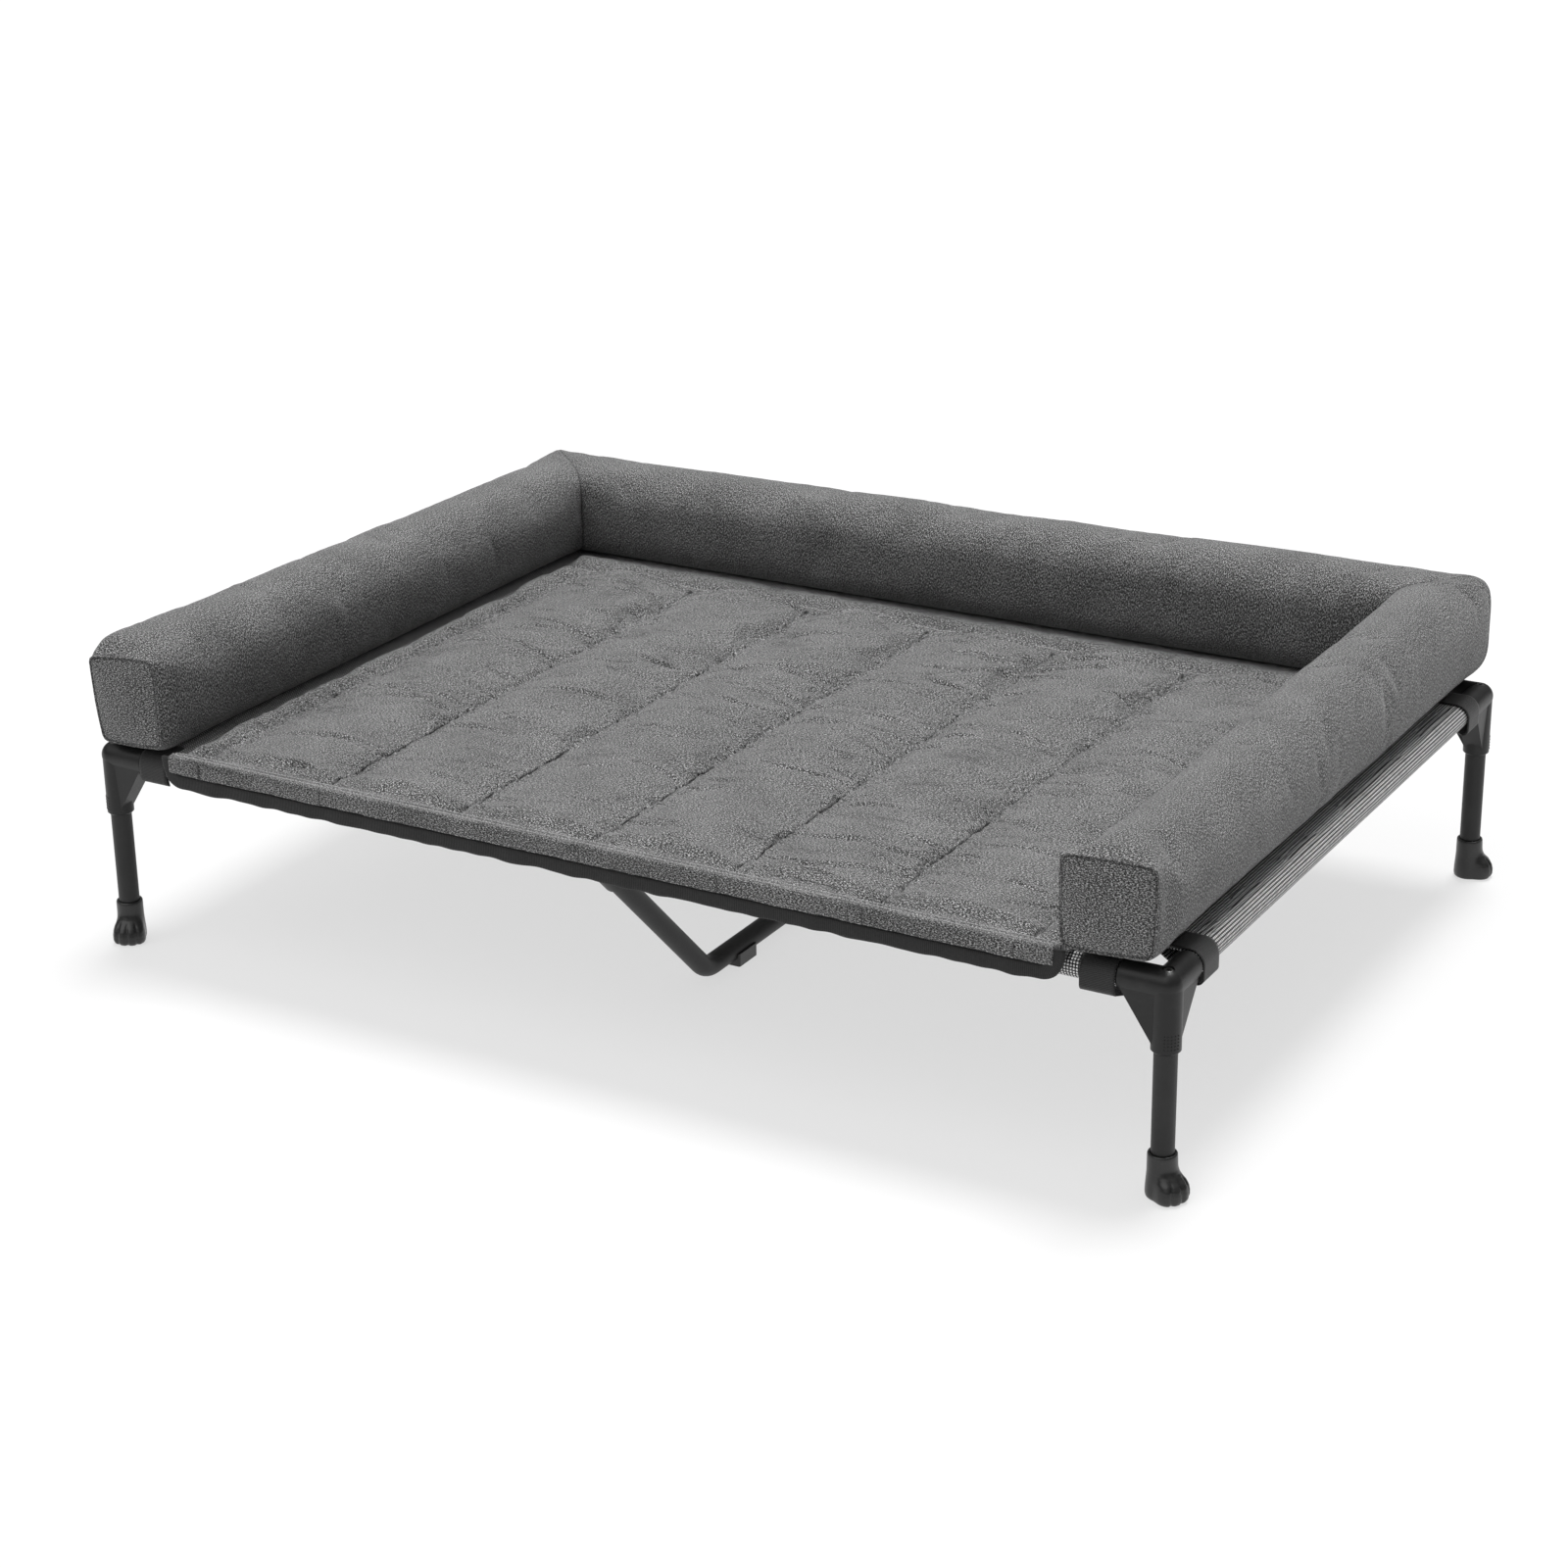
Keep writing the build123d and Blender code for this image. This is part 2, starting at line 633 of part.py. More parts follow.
# Black binding: hangs from the hem in front of the front rail and turns up at both ends.
binding_half = mat_half_length + binding_gap + binding_thickness
with BuildPart() as front_binding:
    with BuildSketch(Plane.XZ.offset(-topper_front)):
        with BuildLine():
            Polyline(
                (-binding_half, binding_bottom),
                (binding_half, binding_bottom),
                (binding_half, mat_top - mat_front_round),
                (binding_half - binding_thickness, mat_top - mat_front_round),
                (binding_half - binding_thickness, mat_hem_bottom - binding_gap),
                (binding_thickness - binding_half, mat_hem_bottom - binding_gap),
                (binding_thickness - binding_half, mat_top - mat_front_round),
                (-binding_half, mat_top - mat_front_round),
                (-binding_half, binding_bottom),
            )
        make_face()
    extrude(amount=-binding_depth)
write(front_binding.part, "front_binding")

# ---- topper: bolsters -----------------------------------------------------------------------
bolster_centre_height = bolster_base + bolster_height / 2
inner_corner_x = topper_half_length - bolster_width
inner_corner_y = topper_back - bolster_width


def mitre_plane(side, keep_side_bolster, inset):
    """Plane of one mitre, moved off it by half the gap and an inset towards the kept bolster."""
    normal = Vector(side, -1, 0).normalized() * (1 if keep_side_bolster else -1)
    corner_point = Vector(side * inner_corner_x, inner_corner_y, 0)
    return Plane(origin=corner_point + normal * (bolster_gap / 2 + inset), z_dir=normal)


def side_bolster(side, inset):
    """Left or right bolster drawn in by an inset: a rounded bar with its back end mitred."""
    profile = Plane(
        origin=(
            side * (topper_half_length - bolster_width / 2),
            bolster_front + inset,
            bolster_centre_height,
        ),
        x_dir=(1, 0, 0),
        z_dir=(0, 1, 0),
    )
    with BuildPart() as bar:
        with BuildSketch(profile):
            RectangleRounded(
                bolster_width - 2 * inset, bolster_height - 2 * inset, bolster_corner - inset
            )
        extrude(amount=topper_back - bolster_front)
        split(bisect_by=mitre_plane(side, True, inset), keep=Keep.TOP)
    return bar.part


def back_bolster(inset):
    """Back bolster drawn in by an inset: a rounded bar with both ends mitred."""
    profile = Plane(
        origin=(-topper_half_length, topper_back - bolster_width / 2, bolster_centre_height),
        x_dir=(0, 1, 0),
        z_dir=(1, 0, 0),
    )
    with BuildPart() as bar:
        with BuildSketch(profile):
            RectangleRounded(
                bolster_width - 2 * inset, bolster_height - 2 * inset, bolster_corner - inset
            )
        extrude(amount=2 * topper_half_length)
        for side in (-1, 1):
            split(bisect_by=mitre_plane(side, False, inset), keep=Keep.TOP)
    return bar.part


bolsters = {
    "left": lambda inset: side_bolster(-1, inset),
    "right": lambda inset: side_bolster(1, inset),
    "back": back_bolster,
}
for side, bolster in bolsters.items():
    with BuildPart() as bolster_cover:
        add(bolster(0))
        add(bolster(cover_thickness), mode=Mode.SUBTRACT)
    write(bolster_cover.part, f"bolster_cover_{side}")
    write(bolster(cover_thickness + fill_clearance), f"bolster_fill_{side}")
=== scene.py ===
import bmesh
import bpy
import math
import numpy as np
from mathutils import Matrix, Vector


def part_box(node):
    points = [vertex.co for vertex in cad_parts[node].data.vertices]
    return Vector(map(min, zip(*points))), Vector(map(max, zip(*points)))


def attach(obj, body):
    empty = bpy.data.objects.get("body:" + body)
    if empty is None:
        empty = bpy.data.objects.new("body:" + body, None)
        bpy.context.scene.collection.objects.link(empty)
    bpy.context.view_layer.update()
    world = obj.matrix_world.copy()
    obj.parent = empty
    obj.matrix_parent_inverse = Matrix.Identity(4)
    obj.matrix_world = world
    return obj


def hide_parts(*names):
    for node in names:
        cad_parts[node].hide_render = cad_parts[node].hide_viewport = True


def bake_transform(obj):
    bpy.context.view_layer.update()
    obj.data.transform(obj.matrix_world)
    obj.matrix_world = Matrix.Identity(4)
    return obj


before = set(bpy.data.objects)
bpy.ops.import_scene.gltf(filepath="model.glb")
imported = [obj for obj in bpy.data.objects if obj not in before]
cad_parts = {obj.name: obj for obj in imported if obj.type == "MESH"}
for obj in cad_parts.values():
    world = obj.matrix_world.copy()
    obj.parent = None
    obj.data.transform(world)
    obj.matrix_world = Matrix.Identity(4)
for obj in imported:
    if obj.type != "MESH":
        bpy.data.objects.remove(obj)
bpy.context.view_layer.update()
mm = 0.001
uvName = "cloth"
print("frame loaded")


class Wire:
    # a socket that takes part in arithmetic, so that a pattern reads as a formula
    def __init__(self, graph, socket):
        self.graph = graph
        self.socket = socket

    def math(self, operation, *values):
        return self.graph.node("ShaderNodeMath", {"operation": operation}, dict(enumerate(values)))

    def __add__(self, other):
        return self.math("ADD", self, other)

    def __radd__(self, other):
        return self.math("ADD", other, self)

    def __sub__(self, other):
        return self.math("SUBTRACT", self, other)

    def __rsub__(self, other):
        return self.math("SUBTRACT", other, self)

    def __mul__(self, other):
        return self.math("MULTIPLY", self, other)

    def __rmul__(self, other):
        return self.math("MULTIPLY", other, self)

    def __truediv__(self, other):
        return self.math("DIVIDE", self, other)

    def __pow__(self, other):
        return self.math("POWER", self, other)

    def step(self, low, high):
        # 0 below low, 1 above high, and a smooth rise between them
        settings = {"interpolation_type": "SMOOTHSTEP"}
        inputs = {"Value": self, "From Min": low, "From Max": high}
        return self.graph.node("ShaderNodeMapRange", settings, inputs)

    def ripple(self):
        # from -1 to 1 and back, once in every whole step of the value
        return self.math("SINE", self * (2 * math.pi))


class Graph:
    # one material: its Principled shader and the nodes that feed it
    def __init__(self, name, **constants):
        self.material = bpy.data.materials.new(name)
        self.material.use_nodes = True
        self.tree = self.material.node_tree
        self.tree.nodes.clear()
        self.shader = self.tree.nodes.new("ShaderNodeBsdfPrincipled")
        output = self.tree.nodes.new("ShaderNodeOutputMaterial")
        self.tree.links.new(self.shader.outputs[0], output.inputs[0])
        for socket, value in constants.items():
            self.shader.inputs[socket.replace("_", " ")].default_value = value

    def node(self, kind, settings, inputs, out=0):
        made = self.tree.nodes.new(kind)
        for key, value in settings.items():
            setattr(made, key, value)
        for key, value in inputs.items():
            if isinstance(value, Wire):
                self.tree.links.new(value.socket, made.inputs[key])
            else:
                made.inputs[key].default_value = value
        return Wire(self, made.outputs[out])

    def feed(self, socket, wire):
        self.tree.links.new(wire.socket, self.shader.inputs[socket])

    def place(self, scale, source="object"):
        # the point on the piece, in metres times scale: its place in space, or its place on the flat cloth
        if source == "object":
            at = self.node("ShaderNodeTexCoord", {}, {}, out="Object")
        else:
            at = self.node("ShaderNodeUVMap", {"uv_map": uvName}, {})
        return self.node("ShaderNodeMapping", {}, {"Vector": at, "Scale": scale})

    def part(self, vector, axis):
        return self.node("ShaderNodeSeparateXYZ", {}, {0: vector}, out=axis)

    def noise(self, vector, detail=2.0, roughness=0.5):
        inputs = {"Vector": vector, "Scale": 1.0, "Detail": detail, "Roughness": roughness}
        return self.node("ShaderNodeTexNoise", {}, inputs)

    def mix(self, factor, first, second):
        return self.node("ShaderNodeMix", {"data_type": "RGBA"}, {0: factor, 6: first, 7: second}, out=2)

    def bump(self, height, distance, strength=1.0):
        inputs = {"Height": height, "Distance": distance, "Strength": strength}
        self.feed("Normal", self.node("ShaderNodeBump", {}, inputs))


def grey(value, warmth=0.0):
    return (value * (1 + warmth), value, value * (1 - warmth), 1)


def heatherCloth(name, creased):
    # melange polyester: dark ground, pale and dark fibre flecks that run along both thread directions.
    # When creased, fine sharp folds run across the channels: lines where a stretched noise passes a half.
    # Painted shade darkens the colour along each fold
    look = {"dark": 0.010, "middle": 0.062, "pale": 0.45, "fleckLong": 470, "fleckAcross": 1300,
            "twillTurn": 38, "thread": 1400, "creaseLong": 7, "creaseAcross": 42, "creaseWidth": 0.032,
            "creasePaintedShade": 0.32, "creaseDeep": 0.8}
    graph = Graph(name, Roughness=0.88, Sheen_Weight=0.18, Sheen_Roughness=0.5, Specular_IOR_Level=0.25)
    long, across = look["fleckLong"], look["fleckAcross"]
    alongU = graph.noise(graph.place((long, across, 1), "cloth"), 2.0, 0.6)
    alongV = graph.noise(graph.place((across, long, 1), "cloth"), 2.0, 0.6)
    diagonal = graph.node("ShaderNodeMapping", {}, {
        "Vector": graph.node("ShaderNodeUVMap", {"uv_map": uvName}, {}),
        "Rotation": (0, 0, math.radians(look["twillTurn"])), "Scale": (long * 1.1, across * 0.8, 1)})
    twill = graph.noise(diagonal, 1.0, 0.5)
    heather = alongU * 0.5 + alongV * 0.22 + twill * 0.28
    cloud = graph.noise(graph.place((14, 14, 1), "cloth"), 3.0, 0.6)
    tone = heather.step(0.4, 0.62) + (cloud - 0.5) * 0.24
    darkToMiddle = graph.mix(tone.step(0.0, 0.5), grey(look["dark"]), grey(look["middle"]))
    colour = graph.mix(tone.step(0.5, 1.0), darkToMiddle, grey(look["pale"]))
    height = heather * 0.04
    if creased:
        wander = graph.noise(graph.place((26, 26, 1), "cloth"), 1.0, 0.5)
        stretched = graph.place((look["creaseLong"], look["creaseAcross"], 1), "cloth")
        inputs = {0: wander * 0.05, 4: stretched, 5: graph.place((60, 60, 1), "cloth")}
        moved = graph.node("ShaderNodeMix", {"data_type": "VECTOR"}, inputs, out=1)
        line = graph.noise(moved, 1.5, 0.45)
        away = line.math("ABSOLUTE", line - 0.5)
        patchy = graph.noise(graph.place((11, 15, 1), "cloth"), 2.0, 0.5).step(0.44, 0.62)
        crease = (1 - away.step(0.0, look["creaseWidth"])) * patchy
        # painted shade: the base colour is pulled towards the dark ground inside each crease
        colour = graph.mix(crease * look["creasePaintedShade"], colour, grey(look["dark"]))
        height = height - crease * look["creaseDeep"]
    graph.feed("Base Color", colour)
    threads = graph.place((look["thread"],) * 3, "cloth")
    weave = graph.part(threads, 0).ripple() * graph.part(threads, 1).ripple()
    graph.bump(height + weave * 0.02, 1.0 * mm)
    return graph.material


def blackTape(name, ribs, shine):
    # woven tape or elastic: fine ribs across its length, faint lint
    graph = Graph(name, Roughness=shine, Sheen_Weight=0.1, Specular_IOR_Level=0.35)
    ribbed = graph.place((ribs, 1400, 1), "cloth")
    rib = graph.part(ribbed, 0).ripple() * 0.5 + 0.5
    thread = graph.part(ribbed, 1).ripple() * 0.5 + 0.5
    lint = graph.noise(graph.place((420, 420, 1), "cloth"), 3.0, 0.65)
    graph.feed("Base Color", graph.mix((lint * 0.7 + rib * 0.3).step(0.3, 0.95), grey(0.005), grey(0.022)))
    graph.bump(rib * 0.7 + thread * 0.2 + lint * 0.4, 0.35 * mm)
    return graph.material


def wovenMesh():
    # coated mesh: black yarns with a pale yarn showing in each cell, brighter on some of the yarns
    look = {"pitch": 3.0 * mm, "yarn": 0.36, "softIn": 0.1, "softOut": 0.06, "black": 0.006, "pale": 0.95}
    graph = Graph("deck_mesh", Roughness=0.5, Specular_IOR_Level=0.4)
    cells = graph.place((1 / look["pitch"],) * 3, "cloth")
    yarnEdge = 0.5 - look["yarn"] / 2
    inCell = []
    for axis in (0, 1):
        line = graph.part(cells, axis)
        middle = line.math("ABSOLUTE", line.math("FRACT", line) - 0.5)  # 0 in a cell's middle, 0.5 on a yarn
        inCell.append(1 - middle.step(yarnEdge - look["softIn"], yarnEdge + look["softOut"]))
    pale = inCell[0] * inCell[1]
    wear = graph.noise(graph.place((90, 260, 1), "cloth"), 3.0, 0.6)
    whiteness = pale * (wear.step(0.2, 0.62) * 0.4 + 0.6)
    graph.feed("Base Color", graph.mix(whiteness, grey(look["black"]), grey(look["pale"])))
    graph.bump(1 - pale, 0.5 * mm)
    return graph.material


def powderCoat():
    # black powder coat: soft orange peel and a little wear in its gloss
    graph = Graph("frame_tube_coat", Specular_IOR_Level=0.35)
    peel = graph.noise(graph.place((420,) * 3), 2.0, 0.5)
    patch = graph.noise(graph.place((22,) * 3), 4.0, 0.65)
    graph.feed("Base Color", graph.mix(patch.step(0.3, 0.75), grey(0.011), grey(0.020)))
    graph.feed("Roughness", patch * 0.16 + 0.40)
    graph.bump(peel, 0.12 * mm)
    return graph.material


def mouldedPlastic():
    # satin black nylon with a fine spark-eroded grain, and slightly greyer scuffs
    graph = Graph("connector_nylon", Specular_IOR_Level=0.35)
    grain = graph.noise(graph.place((1500,) * 3), 2.0, 0.55)
    scuff = graph.noise(graph.place((38,) * 3), 5.0, 0.7)
    graph.feed("Base Color", graph.mix(scuff.step(0.42, 0.8), grey(0.007), grey(0.018)))
    graph.feed("Roughness", scuff * 0.2 + grain * 0.06 + 0.27)
    graph.bump(grain * 0.7 + scuff * 0.3, 0.1 * mm)
    return graph.material


def footRubber():
    # soft black rubber: glossier where it is rubbed, dusty near the floor
    graph = Graph("foot_rubber", Specular_IOR_Level=0.5, Coat_Weight=0.15, Coat_Roughness=0.25)
    height = graph.part(graph.place((1, 1, 1)), 2)
    dust = graph.noise(graph.place((140,) * 3), 4.0, 0.7)
    low = 1 - height.step(0.0, 12 * mm)
    dusty = dust.step(0.45, 0.9) * 0.5 + low * 0.15
    graph.feed("Base Color", graph.mix(dusty, grey(0.006), grey(0.035, 0.05)))
    graph.feed("Roughness", dust * 0.25 + 0.22)
    graph.bump(graph.noise(graph.place((900,) * 3), 2.0, 0.5), 0.08 * mm)
    return graph.material


def zincSteel(name, base):
    # plated steel with fine turning marks and a few dull spots
    graph = Graph(name, Metallic=1.0)
    turned = graph.noise(graph.place((60, 60, 2600)), 2.0, 0.5)
    spots = graph.noise(graph.place((240,) * 3), 4.0, 0.7)
    graph.feed("Base Color", graph.mix(spots.step(0.35, 0.8), grey(base), grey(base * 0.6, 0.03)))
    graph.feed("Roughness", spots * 0.3 + 0.22)
    graph.bump(turned, 0.05 * mm)
    return graph.material


def sewingThread(name, base):
    # spun thread: uneven fibres, darker where they lie deep
    graph = Graph(name, Roughness=0.6, Sheen_Weight=0.2)
    lint = graph.noise(graph.place((2200,) * 3), 2.0, 0.6)
    graph.feed("Base Color", graph.mix(lint, grey(base * 0.6), grey(base)))
    graph.bump(lint, 0.1 * mm)
    return graph.material


clothLook = heatherCloth("heather_cloth", False)
quiltLook = heatherCloth("quilted_cloth", True)
tapeLook = blackTape("binding_tape", 520, 0.72)
elasticLook = blackTape("strap_elastic", 620, 0.5)
meshLook = wovenMesh()
tubeLook = powderCoat()
plasticLook = mouldedPlastic()
rubberLook = footRubber()
screwLook = zincSteel("screw_steel", 0.16)
insertLook = zincSteel("insert_steel", 0.55)
paleThread = sewingThread("pale_thread", 0.42)
darkThread = sewingThread("dark_thread", 0.03)
print("materials made")


def quads(rows, columns, wrap=False):
    # corner indices of every cell of a grid, and where each corner's flat-cloth place is in a grid
    # with one more column when the last column joins the first
    r, c = np.meshgrid(np.arange(rows - 1), np.arange(columns if wrap else columns - 1), indexing="ij")
    r, c = r.ravel(), c.ravel()
    after = (c + 1) % columns
    here, below = r * columns, (r + 1) * columns
    faces = np.stack([here + c, here + after, below + after, below + c], 1)
    wide = columns + 1 if wrap else columns
    here, below = r * wide + c, (r + 1) * wide + c
    flats = np.stack([here, here + 1, below + 1, below], 1)
    return faces, flats


def meshPiece(name, points, faces, flat, material, merge=False):
    # faces holds corner indices, as an array or a list of mixed sizes. flat holds each corner's place on
    # the flat cloth, in metres, and is None where the material reads no such place
    if isinstance(faces, np.ndarray):
        faces = faces.tolist()
    mesh = bpy.data.meshes.new(name)
    mesh.from_pydata(points.tolist(), [], faces)
    if flat is not None:
        mesh.uv_layers.new(name=uvName).uv.foreach_set("vector", flat.astype(np.float32).ravel())
    shell = bmesh.new()
    shell.from_mesh(mesh)
    if merge:
        bmesh.ops.remove_doubles(shell, verts=shell.verts, dist=1e-6)
    bmesh.ops.recalc_face_normals(shell, faces=shell.faces)
    shell.to_mesh(mesh)
    shell.free()
    mesh.polygons.foreach_set("use_smooth", np.ones(len(mesh.polygons), bool))
    mesh.materials.append(material)
    piece = bpy.data.objects.new(name, mesh)
    bpy.context.collection.objects.link(piece)
    return piece


def gridNormals(grid):
    # unit normal at each point: the cross product of the two directions of the grid
    alongRows, alongColumns = np.gradient(grid, axis=0), np.gradient(grid, axis=1)
    normal = np.cross(alongRows, alongColumns)
    return normal / np.maximum(np.linalg.norm(normal, axis=2, keepdims=True), 1e-12)


def closedSheet(name, front, back, flat, material):
    # two grids of the same size, joined round their four edges into one closed thin piece
    rows, columns = front.shape[:2]
    faces, flats = quads(rows, columns)
    count = rows * columns
    index = np.arange(count).reshape(rows, columns)
    rim = np.concatenate([index[0, :-1], index[:-1, -1], index[-1, :0:-1], index[:0:-1, 0]])
    after = np.roll(rim, -1)
    sides = np.stack([rim, after, after + count, rim + count], 1)
    allFaces = np.concatenate([faces, faces[:, ::-1] + count, sides])
    flatPoints = flat.reshape(-1, 2)
    corners = np.concatenate([flatPoints[flats], flatPoints[flats[:, ::-1]], flatPoints[sides % count]])
    points = np.concatenate([front.reshape(-1, 3), back.reshape(-1, 3)])
    return meshPiece(name, points, allFaces, corners, material)


def thinSheet(name, grid, flat, thickness, material):
    # the grid with half of its thickness to each side
    half = gridNormals(grid) * thickness / 2
    return closedSheet(name, grid + half, grid - half, flat, material)


def spread(*parts):
    # one line of numbers made of runs, each (from, to, steps), that share their ends
    runs = [np.linspace(a, b, n + 1)[:-1] for a, b, n in parts]
    return np.concatenate(runs + [np.array([parts[-1][1]])])


def waves(seed, count, shortest, longest, *axes):
    # smooth unevenness from -1 to 1: sine waves of random direction, length and phase, added up
    random = np.random.default_rng(seed)
    total = 0
    for _ in range(count):
        length = random.uniform(shortest, longest)
        aim = random.uniform(0, math.pi)
        heading = (math.cos(aim), math.sin(aim)) if len(axes) == 2 else (1.0,)
        phase = random.uniform(0, 2 * math.pi)
        total = total + np.sin(sum(h * a for h, a in zip(heading, axes)) * 2 * math.pi / length + phase)
    return total / math.sqrt(count)


def smoothRise(x, low, high):
    t = np.clip((x - low) / (high - low), 0, 1)
    return t * t * (3 - 2 * t)


def alongPath(points, spacing):
    # the same path with points an even spacing apart
    steps = np.linalg.norm(np.diff(points, axis=0), axis=1)
    reach = np.concatenate([[0], np.cumsum(steps)])
    even = np.arange(spacing / 2, reach[-1], spacing)
    return np.stack([np.interp(even, reach, points[:, k]) for k in range(3)], 1)


def stitches(name, path, up, look, material):
    # short plump threads laid end to end along a path, each a six-sided spindle of four rings that
    # bows up a little in its middle
    centres = alongPath(path, look["pitch"])
    ahead = np.gradient(centres, axis=0)
    ahead /= np.linalg.norm(ahead, axis=1, keepdims=True)
    up = np.broadcast_to(np.asarray(up, float), centres.shape)
    side = np.cross(ahead, up)
    side /= np.maximum(np.linalg.norm(side, axis=1, keepdims=True), 1e-9)
    lift = np.cross(side, ahead)
    along = np.array([-0.5, -0.3, 0.3, 0.5]) * look["length"]
    girth = np.array([0.35, 1.0, 1.0, 0.35]) * look["radius"]
    bow = np.array([-0.6, 0.25, 0.25, -0.6]) * look["radius"]
    turn = np.arange(6) * math.pi / 3
    points = (centres[:, None, None] + ahead[:, None, None] * along[:, None, None]
              + lift[:, None, None] * (bow[:, None] + girth[:, None] * np.cos(turn))[..., None]
              + side[:, None, None] * (girth[:, None] * np.sin(turn))[..., None])
    one, _ = quads(4, 6, wrap=True)
    ends = np.array([[0, 1, 2, 3], [0, 3, 4, 5], [18, 19, 20, 21], [18, 21, 22, 23]])
    one = np.concatenate([one, ends])
    faces = (one[None] + (np.arange(len(centres)) * 24)[:, None, None]).reshape(-1, 4)
    flat = np.zeros((len(faces), 4, 2))
    return meshPiece(name, points.reshape(-1, 3), faces, flat, material)


def relax(jobs, frames=18):
    # every job is (piece, pin weights, grow weights, look): the pieces swell in one run of the frames,
    # pinned where their seams are, and then keep the shape, with each point's move capped
    scene = bpy.context.scene
    for piece, pins, grows, look in jobs:
        for label, weights in (("pin", pins), ("grow", grows)):
            group = piece.vertex_groups.new(name=label)
            levels = np.round(weights * 8).astype(int)
            for level in np.unique(levels[levels > 0]):
                group.add(np.nonzero(levels == level)[0].tolist(), level / 8, "REPLACE")
        cloth = piece.modifiers.new("cloth", "CLOTH")
        hold = cloth.settings
        hold.quality = look["quality"]
        hold.mass = look["mass"]
        hold.tension_stiffness = hold.compression_stiffness = look["stretch"]
        hold.shear_stiffness = look["stretch"] / 3
        hold.bending_stiffness = look["bend"]
        hold.vertex_group_mass = "pin"
        hold.vertex_group_shrink = "grow"
        hold.shrink_min = -look["growLittle"]
        hold.shrink_max = -look["growMuch"]
        hold.use_pressure = True
        hold.uniform_pressure_force = look["pressure"]
        hold.effector_weights.gravity = 0
        cloth.collision_settings.use_collision = False
        cloth.point_cache.frame_end = frames
    for number in range(1, frames + 1):
        scene.frame_set(number)
    graph = bpy.context.evaluated_depsgraph_get()
    moved = []
    for piece, pins, grows, look in jobs:
        shaped = piece.evaluated_get(graph).to_mesh()
        after = np.zeros(len(shaped.vertices) * 3, np.float32)
        shaped.vertices.foreach_get("co", after)
        moved.append(after.reshape(-1, 3).astype(float))
    for (piece, pins, grows, look), after in zip(jobs, moved):
        piece.modifiers.clear()
        piece.vertex_groups.clear()
        before = pointsOf(piece)
        move = after - before
        size = np.linalg.norm(move, axis=1, keepdims=True)
        mean, most = (round(float(value) / mm, 2) for value in (size.mean(), size.max()))
        print("  moved", piece.name, "by", mean, "mm, at most", most)
        move *= np.tanh(size / look["cap"]) * look["cap"] / np.maximum(size, 1e-9)
        setPoints(piece, before + move)
    scene.frame_set(1)


def pointsOf(piece):
    flatList = np.zeros(len(piece.data.vertices) * 3, np.float32)
    piece.data.vertices.foreach_get("co", flatList)
    return flatList.reshape(-1, 3).astype(float)


def setPoints(piece, points):
    piece.data.vertices.foreach_set("co", points.astype(np.float32).ravel())
    piece.data.update()


def boxOf(node):
    return [np.array(corner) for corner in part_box(node)]


matLow, matHigh = boxOf("mat_cover")
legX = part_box("leg_front_right")[0].x / 2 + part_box("leg_front_right")[1].x / 2
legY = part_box("leg_back_right")[0].y / 2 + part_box("leg_back_right")[1].y / 2

matLook = {
    "channels": 6, "channelWidth": 157 * mm, "cellsPerChannel": 38, "backSeam": 46 * mm, "frontSeam": 12 * mm,
    "hemEnd": 8 * mm, "foldRadius": 3 * mm, "hemThick": 9 * mm, "seamDepth": 10 * mm, "puff": 8 * mm,
    "edgeDrop": 8 * mm, "underside": 0.6 * mm, "thinnest": 1.2 * mm, "tucked": 1.5 * mm, "creases": 130,
    "quality": 5, "mass": 0.03, "stretch": 15, "bend": 0.06, "growLittle": 0.022, "growMuch": 0.09,
    "pressure": 0.3, "cap": 6 * mm,
}


def creases(gx, gy, count, left, right, front, back):
    # shallow folds left by use: each is a short bent furrow with a low ridge beside it, at a random place
    random = np.random.default_rng(17)
    total = np.zeros_like(gx)
    for _ in range(count):
        at = random.uniform((left, front), (right, back))
        aim = random.normal(0.0, 0.3)
        length, width = random.uniform(25, 85) * mm, random.uniform(1.8, 5.0) * mm
        along = (gx - at[0]) * math.cos(aim) + (gy - at[1]) * math.sin(aim)
        across = (gy - at[1]) * math.cos(aim) - (gx - at[0]) * math.sin(aim)
        across = across + random.uniform(-0.3, 0.3) * along ** 2 / length
        fade = np.exp(-(along / length) ** 2 * 2)
        furrow = np.exp(-(across / width) ** 2) - 0.6 * np.exp(-((across - 1.8 * width) / width) ** 2)
        total -= random.uniform(0.8, 3.0) * mm * fade * furrow
    return total


def seamDistance(gx, half):
    # how far each point is from the nearest of the seams between channels
    phase = ((gx + half) / matLook["channelWidth"]) % 1.0
    between = np.minimum(phase, 1 - phase) * matLook["channelWidth"]
    return np.where(np.abs(gx) < half, between, np.abs(gx) - half)


